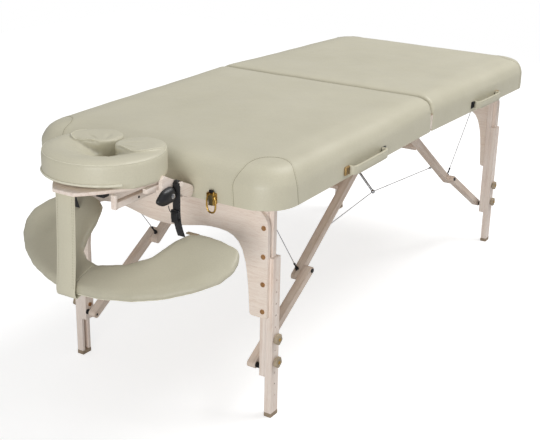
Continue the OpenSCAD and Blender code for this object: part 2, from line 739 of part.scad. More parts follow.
module cradle_plates() {
    both_sides() difference() {
        translate([0, plate_outer, 0]) rotate([quarter_turn, 0, 0]) linear_extrude(height = plate_thickness)
            difference() {
                union() {
                    polygon(concat(
                        [for (p = plate_heel_shares) [heel_u + p[0] * heel_radius, post_height + overrun + p[1] * heel_radius]],
                        [for (p = plate_tip_shares) [tilt_u + p[0] * plate_radius, tilt_rise + p[1] * plate_radius]]));
                    translate([heel_u, post_height + overrun]) circle(r = heel_radius);
                    translate([tilt_u, tilt_rise]) circle(r = plate_radius);
                }
                translate([heel_u + (tilt_u - heel_u) * notch_share, post_height - notch_drop]) circle(r = notch_radius);
            }
        translate([tilt_u, 0, tilt_rise]) y_bar(tilt_bolt_radius + running_gap, arm_outer, plate_outer + overrun);
    }
    both_sides() translate([stud_u, 0, stud_w]) {
        y_bar(stud_radius, plate_outer - overrun, webbing_y + webbing_width / 2 + overrun);
        y_bar(stud_radius * washer_share, webbing_y + webbing_width / 2 + overrun, webbing_y + webbing_width / 2 + 3 * overrun);
    }
}
// tilting platform with its two arms
pillow_u = half_length + pillow_distance;
mouth_share = 0.28;
mouth_width_share = 0.3;
hole_shares = [0.42, 0.4];
module crescent(inset) {
    mouth_u = pillow_u - pillow_half_length * mouth_share;
    mouth_half = pillow_half_width * mouth_width_share + inset;
    difference() {
        translate([pillow_u, 0]) scale([pillow_half_length - inset, pillow_half_width - inset]) circle(r = 1);
        translate([mouth_u, 0]) scale([pillow_half_length * hole_shares[0] + inset, pillow_half_width * hole_shares[1] + inset]) circle(r = 1);
        block_2d(pillow_u - pillow_half_length - overrun, mouth_u, -mouth_half, mouth_half);
    }
}
module block_2d(x_from, x_to, y_from, y_to) {
    translate([x_from, y_from]) square([x_to - x_from, y_to - y_from]);
}
module platform() {
    translate([0, 0, platform_bottom]) linear_extrude(height = platform_thickness) crescent(pillow_overhang);
    both_sides() difference() {
        union() {
            block(tilt_u, pillow_u + pillow_half_length * arm_share, arm_outer - arm_thickness, arm_outer, platform_bottom - arm_depth, platform_bottom);
            block(tilt_u - arm_radius, tilt_u + arm_radius, arm_outer - arm_thickness, arm_outer, tilt_rise, platform_bottom);
            translate([tilt_u, 0, tilt_rise]) y_bar(arm_radius, arm_outer - arm_thickness, arm_outer);
            block(tilt_u + gusset_from, tilt_u + gusset_to, arm_outer - arm_thickness * 3, arm_outer - overrun, platform_bottom - gusset_depth, platform_bottom);
        }
        translate([tilt_u, 0, tilt_rise]) y_bar(tilt_bolt_radius + running_gap, arm_outer - arm_thickness - overrun, plate_outer);
    }
}
module cam_knob() {
    translate([tilt_u, 0, tilt_rise]) {
        cam_face = -plate_outer - overrun - cam_thickness;
        y_bar(tilt_bolt_radius, -plate_outer - 2 * overrun, plate_outer + 2 * overrun);
        y_bar(cam_radius, cam_face, -plate_outer - overrun);
        y_bar(cam_radius / 2, cam_face - cam_boss, cam_face + overrun);
        block(-cam_nut, cam_nut, cam_face - cam_boss - cam_nut + overrun, cam_face - cam_boss + overrun, -cam_nut, cam_nut);
        y_bar(tilt_bolt_radius * 2, plate_outer + overrun, plate_outer + overrun + bracket_plate * 3);
    }
}

// crescent face pillow, an arc of padded roll open towards the table
pillow_steps = 28;
pillow_open_angle = 27;
pillow_section_shares = [[0.72, 0], [0.96, 0.05], [1, 0.25], [1, 0.6], [0.93, 0.86], [0.72, 1], [0.3, 0.95], [0.02, 0.8], [0, 0.4], [0.02, 0.05], [0.3, 0]];
pillow_inner_share = 0.42;
pillow_swell_share = 0.04;
pillow_middle_share = 0.45;
function pillow_inner(a) = pillow_inner_share + pillow_swell_share * cos(a);
pillow_end_shares = [[0.001, 0.35], [0.05, 0.72], [0.09, 0.93]];
function pillow_taper(i) = let (t = min(i, pillow_steps - i) / pillow_steps)
    t < pillow_end_shares[0][0] ? pillow_end_shares[0][1] : t < pillow_end_shares[1][0] ? pillow_end_shares[1][1] : t < pillow_end_shares[2][0] ? pillow_end_shares[2][1] : 1;
module pillow() {
    n = len(pillow_section_shares);
    rings = [for (i = [0 : pillow_steps])
        let (a = half_turn + pillow_open_angle + i * (full_circle - 2 * pillow_open_angle) / pillow_steps,
            taper = pillow_taper(i), mid = (1 + pillow_inner(a)) / 2)
        [for (s = pillow_section_shares)
            let (r = mid + (pillow_inner(a) + s[0] * (1 - pillow_inner(a)) - mid) * taper)
            [pillow_u + pillow_half_length * r * cos(a), pillow_half_width * r * sin(a),
                platform_top + seam_gap + pillow_height * (pillow_middle_share + (s[1] - pillow_middle_share) * (1 + taper) / 2) * (s[1] == 0 ? 0 : 1)]]];
    stacked_rings([for (i = [pillow_steps : -1 : 0]) rings[i]]);
}

// arm shelf: a padded crescent hung below the cradle, in the table's own frame
shelf_back = half_length + shelf_gap;
shelf_front = shelf_back + shelf_depth;
shelf_back_height = axis_height - shelf_drop;
shelf_front_height = shelf_back_height - shelf_fall;
// stations round the crescent: shares of its depth and reach at the outer and the inner edge
shelf_station_shares = [[0.22, -0.96, 0.19, -0.88], [0.3, -0.99, 0.15, -0.78], [0.393, -0.997, 0.13, -0.69], [0.514, -0.96, 0.125, -0.59], [0.666, -0.847, 0.15, -0.51],
    [0.807, -0.684, 0.24, -0.45], [0.921, -0.483, 0.455, -0.375], [0.986, -0.252, 0.59, -0.25], [0.997, -0.01, 0.68, -0.06], [0.948, 0.223, 0.65, 0.05],
    [0.852, 0.437, 0.56, 0.15], [0.714, 0.614, 0.43, 0.2], [0.566, 0.743, 0.24, 0.245], [0.428, 0.815, 0.08, 0.3], [0.31, 0.828, 0.02, 0.37],
    [0.19, 0.78, 0.01, 0.43], [0.11, 0.71, 0.015, 0.5], [0.072, 0.662, 0.02, 0.56]];
shelf_section_shares = [[0, 0.4], [0.02, 0.15], [0.08, 0], [0.92, 0], [0.98, 0.15], [1, 0.4], [0.985, 0.7], [0.94, 0.9], [0.86, 0.98], [0.5, 1], [0.14, 0.98], [0.06, 0.9], [0.015, 0.7]];
function shelf_top_z(x) = shelf_back_height + (-x - shelf_back) / (shelf_front - shelf_back) * (shelf_front_height - shelf_back_height);
function shelf_point(station, across, lift) =
    let (x = -(shelf_back + (station[0] + across * (station[2] - station[0])) * (shelf_front - shelf_back)))
    [x, shelf_reach * (station[1] + across * (station[3] - station[1])), shelf_top_z(x) - shelf_thickness * (1 - lift)];
module arm_shelf() {
    last = len(shelf_station_shares) - 1;
    stacked_rings([for (i = [0 : last]) [for (q = shelf_section_shares) shelf_point(shelf_station_shares[last - i], q[0], q[1])]]);
}

// straps that carry the shelf
strap_top_u = half_length + strap_distance;
strap_top_x = -half_x(strap_top_u, platform_bottom);
strap_low_x = -(shelf_front + seam_gap);
strap_back_x = -(shelf_front - strap_return);
module front_strap() {
    top = half_z(strap_top_u, platform_bottom) - 2 * seam_gap;
    function under(x) = shelf_top_z(x) - shelf_thickness - seam_gap;
    translate([0, front_strap_width / 2, 0]) rotate([quarter_turn, 0, 0]) linear_extrude(height = front_strap_width)
        polygon([[strap_top_x - strap_sheet, top], [strap_low_x - strap_sheet, shelf_front_height], [strap_low_x - strap_sheet, under(strap_low_x) - strap_sheet],
            [strap_back_x, under(strap_back_x) - strap_sheet], [strap_back_x, under(strap_back_x)], [strap_low_x, under(strap_low_x)],
            [strap_low_x, shelf_front_height], [strap_top_x, top]]);
}
webbing_face = -half_x(stud_u, stud_w) - stud_radius - seam_gap;
webbing_high = half_z(stud_u, stud_w);
module webbing_straps() {
    both_sides()
        block(webbing_face - webbing_sheet, webbing_face, webbing_y - webbing_width / 2, webbing_y + webbing_width / 2,
            shelf_top_z(webbing_face - webbing_sheet) + 2 * seam_gap + overrun, webbing_high);
}
module strap_buckles() {
    buckle_z = webbing_high - buckle_drop;
    both_sides()
        block(webbing_face - webbing_sheet - buckle_sheet, webbing_face - webbing_sheet - seam_gap,
            webbing_y - buckle_width / 2, webbing_y + buckle_width / 2, buckle_z - buckle_width / 2, buckle_z + buckle_width / 2);
}

vinyl = [0.76, 0.74, 0.64];
maple = [0.87, 0.82, 0.77];
board = [0.7, 0.62, 0.5];
steel = [0.55, 0.55, 0.57];
brass = [0.8, 0.62, 0.25];
black = [0.08, 0.08, 0.09];
tan = [0.6, 0.53, 0.43];

color(vinyl) head_half() pad();  // pad_head
color(board) head_half() deck();  // deck_head
color(maple) head_half() side_rails();  // side_rails_head
color(maple) head_half() cross_rails();  // cross_rails_head
color(steel) head_half() hinge_leaves(true);  // hinge_leaves_head
color(steel) head_half() pivot_plates();  // pivot_plates_head
color(vinyl) head_half() handle();  // handle_head
color(steel) head_half() handle_brackets();  // handle_brackets_head
color(brass) head_half() latch_plate_part();  // latch_plate
color(vinyl) foot_half() pad();  // pad_foot
color(board) foot_half() deck();  // deck_foot
color(maple) foot_half() side_rails();  // side_rails_foot
color(maple) foot_half() cross_rails();  // cross_rails_foot
color(steel) foot_half() hinge_leaves(false);  // hinge_leaves_foot
color(steel) foot_half() pivot_plates();  // pivot_plates_foot
color(vinyl) foot_half() handle();  // handle_foot
color(steel) foot_half() handle_brackets();  // handle_brackets_foot
color(steel) hinge_pins();
color(steel) centre_struts();
color(brass) head_half() latch_lever();
color(maple) upper_legs();  // upper_legs_head
color(maple) end_panel();  // end_panel_head
color(brass) leg_screws();  // leg_screws_head
color(maple) mirror([1, 0, 0]) upper_legs();  // upper_legs_foot
color(maple) mirror([1, 0, 0]) end_panel();  // end_panel_foot
color(brass) mirror([1, 0, 0]) leg_screws();  // leg_screws_foot
color(maple) upper_links();  // upper_links_head
color(maple) lower_links();  // lower_links_head
color(black) knee_bolts();  // knee_bolts_head
color(black) leg_pins();  // leg_pins_head
color(maple) mirror([1, 0, 0]) upper_links();  // upper_links_foot
color(maple) mirror([1, 0, 0]) lower_links();  // lower_links_foot
color(black) mirror([1, 0, 0]) knee_bolts();  // knee_bolts_foot
color(black) mirror([1, 0, 0]) leg_pins();  // leg_pins_foot
color(steel) { truss_cables(); knee_cables(); }  // stay_cables
color(maple) mirror([0, 1, 0]) mirror([1, 0, 0]) extension();  // extension_head_near
color(maple) mirror([1, 0, 0]) extension();  // extension_head_far
color(maple) mirror([0, 1, 0]) extension();  // extension_foot_near
color(maple) extension();  // extension_foot_far
color(tan) mirror([0, 1, 0]) mirror([1, 0, 0]) rubber_foot();  // foot_head_near
color(tan) mirror([1, 0, 0]) rubber_foot();  // foot_head_far
color(tan) mirror([0, 1, 0]) rubber_foot();  // foot_foot_near
color(tan) rubber_foot();  // foot_foot_far
color(tan) mirror([0, 1, 0]) mirror([1, 0, 0]) knob(upper_knob_hole);  // knob_head_near_upper
color(tan) mirror([0, 1, 0]) mirror([1, 0, 0]) knob(lower_knob_hole);  // knob_head_near_lower
color(tan) mirror([1, 0, 0]) knob(upper_knob_hole);  // knob_head_far_upper
color(tan) mirror([1, 0, 0]) knob(lower_knob_hole);  // knob_head_far_lower
color(tan) mirror([0, 1, 0]) knob(upper_knob_hole);  // knob_foot_near_upper
color(tan) mirror([0, 1, 0]) knob(lower_knob_hole);  // knob_foot_near_lower
color(tan) knob(upper_knob_hole);  // knob_foot_far_upper
color(tan) knob(lower_knob_hole);  // knob_foot_far_lower
color(maple) head_half() cradle_base();
color(maple) head_half() cradle_plates();
color(maple) head_half() platform();
color(black) head_half() cam_knob();
color(vinyl) head_half() pillow();
color(vinyl) arm_shelf();
color(vinyl) front_strap();
color(black) webbing_straps();
color(black) strap_buckles();
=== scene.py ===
import bpy, bmesh
from math import atan2, copysign, cos, degrees, hypot, pi, radians, sin
from mathutils import Vector, Matrix, noise
from mathutils.bvhtree import BVHTree


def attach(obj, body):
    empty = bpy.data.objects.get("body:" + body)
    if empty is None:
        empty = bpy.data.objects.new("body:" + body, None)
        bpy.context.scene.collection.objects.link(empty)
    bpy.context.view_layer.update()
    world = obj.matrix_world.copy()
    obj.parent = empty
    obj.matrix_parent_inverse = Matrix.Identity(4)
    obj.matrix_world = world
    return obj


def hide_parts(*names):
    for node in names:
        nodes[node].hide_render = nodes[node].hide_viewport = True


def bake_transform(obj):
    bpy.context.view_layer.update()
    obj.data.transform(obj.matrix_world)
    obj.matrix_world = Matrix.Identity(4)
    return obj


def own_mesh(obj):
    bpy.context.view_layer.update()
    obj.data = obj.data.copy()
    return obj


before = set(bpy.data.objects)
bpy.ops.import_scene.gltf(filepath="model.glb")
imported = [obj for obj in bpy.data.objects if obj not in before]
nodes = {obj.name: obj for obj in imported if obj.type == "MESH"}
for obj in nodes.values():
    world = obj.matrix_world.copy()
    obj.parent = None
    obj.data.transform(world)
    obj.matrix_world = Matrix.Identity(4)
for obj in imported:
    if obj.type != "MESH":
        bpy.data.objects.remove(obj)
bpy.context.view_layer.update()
scene = bpy.context.scene
print("frame loaded,", len(nodes), "nodes")


def addObject(name, data):
    obj = bpy.data.objects.new(name, data)
    scene.collection.objects.link(obj)
    return obj


# the camera stands where the photograph was taken
camera = dict(
    place=(-2.96838, -1.66058, 1.50378), turn=(69.7461, -1.9265, -59.9853), lens=69.022, sensor=36,
    shiftX=-0.07972, shiftY=0.00487, reach=60)
lens = bpy.data.cameras.new("studioCamera")
lens.lens, lens.sensor_width = camera["lens"], camera["sensor"]
lens.shift_x, lens.shift_y = camera["shiftX"], camera["shiftY"]
lens.clip_end = camera["reach"]
eye = addObject("studioCamera", lens)
eye.location = camera["place"]
eye.rotation_euler = [radians(a) for a in camera["turn"]]
scene.camera = eye
scene.view_settings.view_transform = "Standard"

quarter = pi / 2
archTilt = radians(0.87)
hingeHeight = 0.648
mergeWithin = 0.00002


def onHead(u, y, w):  # a point of the head half: u out from the hinge, w up from the rail bottoms
    return Vector((-u * cos(archTilt) - w * sin(archTilt), y,
                   hingeHeight - u * sin(archTilt) + w * cos(archTilt)))


def halfPlace(p):  # a point of either half back to (u, w)
    x, z = abs(p[0]), p[2] - hingeHeight
    return x * cos(archTilt) - z * sin(archTilt), x * sin(archTilt) + z * cos(archTilt)


headUp = (onHead(0, 0, 1) - onHead(0, 0, 0)).normalized()


def clamp(value):  # held between 0 and 1
    return max(0.0, min(1.0, value))


def clearSelection():
    if bpy.context.object and bpy.context.object.mode != "OBJECT":
        bpy.ops.object.mode_set(mode="OBJECT")
    bpy.ops.object.select_all(action="DESELECT")


def pick(obj):
    clearSelection()
    obj.select_set(True)
    bpy.context.view_layer.objects.active = obj


def applyModifiers(obj):
    pick(obj)
    for m in list(obj.modifiers):
        bpy.ops.object.modifier_apply(modifier=m.name)


def editAll(obj):  # edit mode with the whole mesh selected
    pick(obj)
    bpy.ops.object.mode_set(mode="EDIT")
    bpy.ops.mesh.select_all(action="SELECT")


def endEdit():
    bpy.ops.object.mode_set(mode="OBJECT")


def endOutward():  # out of edit mode with every face pointing outwards
    bpy.ops.mesh.select_all(action="SELECT")
    bpy.ops.mesh.normals_make_consistent(inside=False)
    endEdit()


def chooseVertices(obj, wanted):  # in edit mode, selects the vertices whose place is wanted
    bpy.ops.mesh.select_mode(type="VERT")
    shape = bmesh.from_edit_mesh(obj.data)
    for f in shape.faces:
        f.select_set(False)
    for v in shape.verts:
        v.select_set(wanted(v.co))
    shape.select_flush(True)
    bmesh.update_edit_mesh(obj.data)


def roundEdges(obj, width, segments=2, angle=40):
    m = obj.modifiers.new("roundEdges", "BEVEL")
    m.width, m.segments, m.limit_method, m.angle_limit = width, segments, "ANGLE", radians(angle)
    m.harden_normals = False
    applyModifiers(obj)
    bpy.ops.object.shade_smooth_by_angle(angle=radians(50))
    return obj


def mirrorCopy(obj, name, axes):  # a copy turned over along each axis that is marked 1
    twin = addObject(name, obj.data.copy())
    twin.data.transform(Matrix.Diagonal([1 - 2 * a for a in axes] + [1]))
    if sum(axes) % 2:
        twin.data.flip_normals()
    return twin


def footTwin(obj):
    return mirrorCopy(obj, obj.name.replace("Head", "Foot"), (1, 0, 0))


def join(objs, name):
    clearSelection()
    for o in objs:
        o.select_set(True)
    bpy.context.view_layer.objects.active = objs[0]
    bpy.ops.object.join()
    objs[0].name = name
    return objs[0]


def smoothPath(points, steps):  # a rounded line through the points
    pts = [Vector(p) for p in points]
    pts = [pts[0] * 2 - pts[1]] + pts + [pts[-1] * 2 - pts[-2]]
    out = []
    for i in range(1, len(pts) - 2):
        a, b, c, d = pts[i - 1:i + 3]
        for k in range(steps):
            t = k / steps
            square, cube = 2 * a - 5 * b + 4 * c - d, 3 * b - a - 3 * c + d
            out.append(0.5 * (2 * b + (c - a) * t + square * t * t + cube * t ** 3))
    out.append(pts[-2])
    return out


def ownPlace(name):  # the primitive just added, named, with its place moved into its mesh
    obj = bpy.context.object
    pick(obj)
    bpy.ops.object.transform_apply(location=True, rotation=True, scale=True)
    obj.name = name
    return obj


def cylinder(name, sides, radius, depth, at=(0, 0, 0), turn=(0, 0, 0)):
    clearSelection()
    bpy.ops.mesh.primitive_cylinder_add(vertices=sides, radius=radius, depth=depth,
                                        location=at, rotation=turn)
    return ownPlace(name)


def torus(name, radii, sides, at=(0, 0, 0), turn=(0, 0, 0)):
    clearSelection()
    bpy.ops.mesh.primitive_torus_add(major_radius=radii[0], minor_radius=radii[1], major_segments=sides[0],
                                     minor_segments=sides[1], location=at, rotation=turn)
    return ownPlace(name)


def box(name, x, y, z, place=Vector):  # a cuboid between three pairs of planes
    clearSelection()
    bpy.ops.mesh.primitive_cube_add(size=1)
    obj = ownPlace(name)
    for v in obj.data.vertices:
        v.co = place([max(pair) if c > 0 else min(pair) for c, pair in zip(v.co, (x, y, z))])
    return obj


def block(name, x, y, z, width=0.001):
    return roundEdges(box(name, x, y, z), width, 3)


def plank(name, u, y, w):  # a cuboid along the head half
    return box(name, [-c for c in u], y, w, lambda p: onHead(-p[0], p[1], p[2]))


def trim(obj, cutter):
    cut = obj.modifiers.new("trim", "BOOLEAN")
    cut.operation, cut.object, cut.solver = "DIFFERENCE", cutter, "EXACT"
    applyModifiers(obj)
    bpy.data.objects.remove(cutter)


def roundRod(name, points, radius, sides=8):  # a tube along a line of points
    line = bpy.data.curves.new(name, "CURVE")
    line.dimensions = "3D"
    line.bevel_depth, line.bevel_resolution = radius, max(1, sides // 4 - 1)
    line.use_fill_caps = True
    spline = line.splines.new("POLY")
    spline.points.add(len(points) - 1)
    for q, p in zip(spline.points, points):
        q.co = (*p, 1)
    pick(addObject(name, line))
    bpy.ops.object.convert(target="MESH")
    obj = bpy.context.object
    editAll(obj)
    bpy.ops.mesh.remove_doubles(threshold=mergeWithin)
    endOutward()
    bpy.ops.object.shade_smooth_by_angle(angle=radians(60))
    return obj


def flatStrap(name, points, across, width, thickness):  # a band drawn out edge by edge along its line
    side = Vector(across).normalized() * width / 2
    clearSelection()
    bpy.ops.mesh.primitive_plane_add(size=1)
    obj = ownPlace(name)
    corners = [points[0] - side, points[0] + side, points[1] - side, points[1] + side]
    for v, c in zip(obj.data.vertices, corners):
        v.co = c
    editAll(obj)
    for a, b in zip(points[1:], points[2:]):
        chooseVertices(obj, lambda co: min((co - (a + s)).length for s in (side, -side)) < mergeWithin / 2)
        bpy.ops.mesh.extrude_region_move(TRANSFORM_OT_translate={"value": tuple(b - a)})
    bpy.ops.mesh.select_all(action="SELECT")
    bpy.ops.mesh.subdivide(number_cuts=1)
    endOutward()
    m = obj.modifiers.new("thick", "SOLIDIFY")
    m.thickness, m.offset = thickness, 0
    applyModifiers(obj)
    return roundEdges(obj, thickness * 0.33, 2, 60)


def stitchRow(name, points, radius=0.0004, length=0.004, gap=0.003):  # thread dashes along a line
    dashes, walked, spot = [], 0.0, 0.0
    for a, b in zip(points, points[1:]):
        span = (b - a).length
        while spot < walked + span:
            dashes.append((a + (b - a) * ((spot - walked) / span), (b - a).normalized()))
            spot += length + gap
        walked += span
    one = cylinder("dash", 6, radius, length)
    editAll(one)
    bpy.ops.mesh.bevel(offset=radius * 0.6, segments=1)
    endEdit()
    made = []
    for p, d in dashes:
        twin = addObject(name, one.data.copy())
        twin.data.transform(Matrix.Translation(p) @ d.to_track_quat("Z", "Y").to_matrix().to_4x4())
        made.append(twin)
    bpy.data.objects.remove(one)
    row = join(made, name)
    bpy.ops.object.shade_smooth()
    return row


# finishes, all worked out from Object coordinates
def tone(r, g, b):  # screen colour 0-255 to the shader's
    shares = [c / 255 for c in (r, g, b)]
    return tuple(c / 12.92 if c < 0.0405 else ((c + 0.055) / 1.055) ** 2.4 for c in shares) + (1,)


def startFinish(name):
    mat = bpy.data.materials.new(name)
    mat.use_nodes = True
    tree = mat.node_tree
    shader = tree.nodes["Principled BSDF"]
    coord = tree.nodes.new("ShaderNodeTexCoord")
    return mat, tree, shader, coord.outputs["Object"]


def addNode(tree, kind, **values):
    n = tree.nodes.new(kind)
    for k, v in values.items():
        if k in n.inputs:
            n.inputs[k].default_value = v
        else:
            setattr(n, k, v)
    return n


def link(source, target):
    source.id_data.links.new(source, target)


def noiseOn(where, scale, detail=3, rough=0.5, distort=0.0):
    n = addNode(where.id_data, "ShaderNodeTexNoise", Scale=scale, Detail=detail, Roughness=rough,
                Distortion=distort)
    link(where, n.inputs["Vector"])
    return n.outputs["Fac"]


def ramp(value, *stops):
    n = addNode(value.id_data, "ShaderNodeValToRGB")
    while len(n.color_ramp.elements) < len(stops):
        n.color_ramp.elements.new(0.5)
    for e, (at, colour) in zip(n.color_ramp.elements, stops):
        e.position, e.color = at, colour
    link(value, n.inputs["Fac"])
    return n.outputs["Color"]


def grey(v):
    return (v, v, v, 1)


def blendColour(kind, factor, a, b):  # a comes from a node, factor and b may be plain values
    n = addNode(a.id_data, "ShaderNodeMix", data_type="RGBA", blend_type=kind)
    for socket, v in ((n.inputs[0], factor), (n.inputs[6], a), (n.inputs[7], b)):
        if hasattr(v, "links"):
            link(v, socket)
        else:
            socket.default_value = v
    return n.outputs[2]


def bump(height, strength, distance, under=None):
    n = addNode(height.id_data, "ShaderNodeBump", Strength=strength, Distance=distance)
    link(height, n.inputs["Height"])
    if under is not None:
        link(under, n.inputs["Normal"])
    return n.outputs["Normal"]


def along(where, turn, stretch):  # turns the pattern's x along the grain, then stretches it
    n = addNode(where.id_data, "ShaderNodeMapping", vector_type="TEXTURE")
    n.inputs["Rotation"].default_value = turn
    n.inputs["Scale"].default_value = stretch
    link(where, n.inputs["Vector"])
    return n.outputs["Vector"]


def colourOn(shader, value, deep, pale, low=0.3, high=0.7):
    link(ramp(value, (low, tone(*deep)), (high, tone(*pale))), shader.inputs["Base Color"])


def glossOn(shader, value, smooth, rough):
    link(ramp(value, (0.3, grey(smooth)), (0.7, grey(rough))), shader.inputs["Roughness"])


def vinylFinish(name, pale, deep):
    mat, tree, shader, where = startFinish(name)
    cloud = noiseOn(where, 4.5, 4, 0.55)
    colour = ramp(cloud, (0.3, tone(*deep)), (0.7, tone(*pale)))
    speck = noiseOn(where, 260, 3, 0.6)
    specks = ramp(speck, (0.3, grey(0.86)), (0.62, grey(1)))
    link(blendColour("MULTIPLY", 0.35, colour, specks), shader.inputs["Base Color"])
    glossOn(shader, noiseOn(where, 22, 4), 0.36, 0.5)
    shader.inputs["Specular IOR Level"].default_value = 0.42
    pebble = addNode(tree, "ShaderNodeTexVoronoi", feature="SMOOTH_F1", Scale=900)
    link(where, pebble.inputs["Vector"])
    fine = bump(pebble.outputs["Distance"], 0.3, 0.0002)
    broad = bump(noiseOn(where, 38, 3, 0.5), 0.22, 0.0012, fine)
    link(bump(noiseOn(where, 7, 2, 0.4), 0.3, 0.004, broad), shader.inputs["Normal"])
    return mat


def mapleFinish(name, turn=(0, 0, 0), pale=(243, 232, 223), deep=(219, 199, 184)):
    mat, tree, shader, where = startFinish(name)
    lines = along(where, turn, (0.32, 0.011, 0.011))
    figure = noiseOn(lines, 1.0, 6, 0.62, 0.5)
    between = [(a * 2 + b) / 3 for a, b in zip(pale, deep)]
    colour = ramp(figure, (0.28, tone(*deep)), (0.5, tone(*between)), (0.74, tone(*pale)))
    pores = noiseOn(along(where, turn, (0.02, 0.0006, 0.0006)), 1.0, 2, 0.5)
    pits = ramp(pores, (0.3, tone(214, 192, 178)), (0.48, grey(1)))
    colour = blendColour("MULTIPLY", 0.5, colour, pits)
    wash = ramp(noiseOn(where, 9, 3, 0.5), (0.4, grey(0)), (0.75, grey(0.4)))
    colour = blendColour("MIX", wash, colour, tone(240, 232, 224))
    # the colour turns paler along the edges, where the Bevel node's rounded normal leaves the flat one
    soft = addNode(tree, "ShaderNodeBevel", samples=4, Radius=0.0014)
    flat = addNode(tree, "ShaderNodeNewGeometry")
    dot = addNode(tree, "ShaderNodeVectorMath", operation="DOT_PRODUCT")
    link(soft.outputs["Normal"], dot.inputs[0])
    link(flat.outputs["Normal"], dot.inputs[1])
    paleEdge = ramp(dot.outputs["Value"], (0.82, grey(0.45)), (0.99, grey(0)))
    colour = blendColour("MIX", paleEdge, colour, tone(243, 236, 228))
    link(colour, shader.inputs["Base Color"])
    link(ramp(figure, (0.2, grey(0.55)), (0.8, grey(0.42))), shader.inputs["Roughness"])
    shader.inputs["Specular IOR Level"].default_value = 0.4
    link(bump(pores, 0.25, 0.0003, soft.outputs["Normal"]), shader.inputs["Normal"])
    return mat


def boardFinish(name):
    mat, tree, shader, where = startFinish(name)
    chips = noiseOn(where, 60, 6, 0.7)
    colourOn(shader, chips, (176, 158, 134), (203, 187, 163))
    shader.inputs["Roughness"].default_value = 0.7
    link(bump(chips, 0.3, 0.0005), shader.inputs["Normal"])
    return mat


def metalFinish(name, pale, deep, rough=(0.22, 0.42), metallic=1.0, scale=90):
    mat, tree, shader, where = startFinish(name)
    rub = noiseOn(along(where, (0, 0, 0), (0.05, 0.01, 0.02)), 1.0, 4, 0.6)
    colourOn(shader, rub, deep, pale)
    glossOn(shader, noiseOn(where, scale, 4), *rough)
    shader.inputs["Metallic"].default_value = metallic
    link(bump(noiseOn(where, scale * 5, 2), 0.12, 0.0002), shader.inputs["Normal"])
    return mat


def mouldedFinish(name, pale, deep, roughness=0.45, scale=700, depth=0.00018):
    mat, tree, shader, where = startFinish(name)
    colourOn(shader, noiseOn(where, 35, 4), deep, pale)
    glossOn(shader, noiseOn(where, 120, 2), roughness - 0.06, roughness + 0.08)
    link(bump(noiseOn(where, scale, 2), 0.4, depth), shader.inputs["Normal"])
    return mat


def wovenFinish(name, pale, deep, pitch=0.0016):
    mat, tree, shader, where = startFinish(name)
    threads = []
    for way, spread in (("Y", 3.14), ("Z", 4.2)):
        wave = addNode(tree, "ShaderNodeTexWave", wave_type="BANDS", bands_direction=way,
                       Scale=1 / pitch / spread, Distortion=0.6, Detail=1)
        link(where, wave.inputs["Vector"])
        threads.append(wave.outputs["Color"])
    cloth = blendColour("MULTIPLY", 0.6, *threads)
    colourOn(shader, cloth, deep, pale, 0.1, 0.8)
    shader.inputs["Roughness"].default_value = 0.82
    shader.inputs["Sheen Weight"].default_value = 0.15
    link(bump(cloth, 0.5, 0.0004), shader.inputs["Normal"])
    return mat


vinyl = vinylFinish("sageVinyl", (206, 201, 180), (199, 194, 172))
# a darker copy of the same vinyl for the arm shelf: painted shade, for the shade the shelf lies in under the
# table
vinylShelfShaded = vinylFinish("sageVinylShelfPaintedShade", (190, 185, 165), (183, 178, 157))
# a paler copy of the vinyl for the piping and seams: real piping and seams, their paleness a painted
# highlight of the rolled edges
vinylEdgeHighlight = vinylFinish("sageVinylPipingHighlight", (224, 220, 200), (214, 210, 190))
seamShade = vinylFinish("seamShade", (150, 143, 116), (134, 127, 101))
stitchThread = mouldedFinish("stitchThread", (188, 182, 152), (166, 160, 130), 0.7)
mapleLong = mapleFinish("mapleLong")
mapleCross = mapleFinish("mapleCross", (0, 0, quarter))
mapleUp = mapleFinish("mapleUp", (0, quarter, 0))
# a paler copy of the maple for the end panel: painted light, making up for the shade the panel sits in at
# the head end
mapleBoardLit = mapleFinish("maplePanel", (0, 0, quarter), (245, 232, 220), (233, 216, 201))
deckBoard = boardFinish("deckBoard")
steel = metalFinish("satinSteel", (196, 197, 200), (168, 168, 172))
brass = metalFinish("brass", (214, 178, 102), (178, 138, 66), (0.2, 0.36))
screwBrass = metalFinish("screwBrass", (206, 160, 112), (168, 122, 80), (0.3, 0.45), 0.8)
blackSteel = metalFinish("blackSteel", (44, 44, 46), (24, 24, 26), (0.35, 0.5), 0.6)
tanBrass = metalFinish("tanBrass", (190, 158, 106), (160, 130, 84), (0.32, 0.46), 0.65)
darkBrass = metalFinish("darkBrass", (112, 98, 66), (84, 74, 52), (0.35, 0.5), 0.7)
blackPlastic = mouldedFinish("blackPlastic", (32, 32, 35), (18, 18, 20), 0.38)
tanPlastic = mouldedFinish("tanPlastic", (176, 160, 136), (150, 134, 110), 0.5)
tanRubber = mouldedFinish("tanRubber", (170, 152, 132), (144, 127, 106), 0.75, 320, 0.0004)
webWeave = wovenFinish("blackWebbing", (46, 46, 50), (14, 14, 16))
cableSteel = metalFinish("cableSteel", (214, 214, 218), (176, 176, 182), (0.25, 0.4), 0.85, 900)

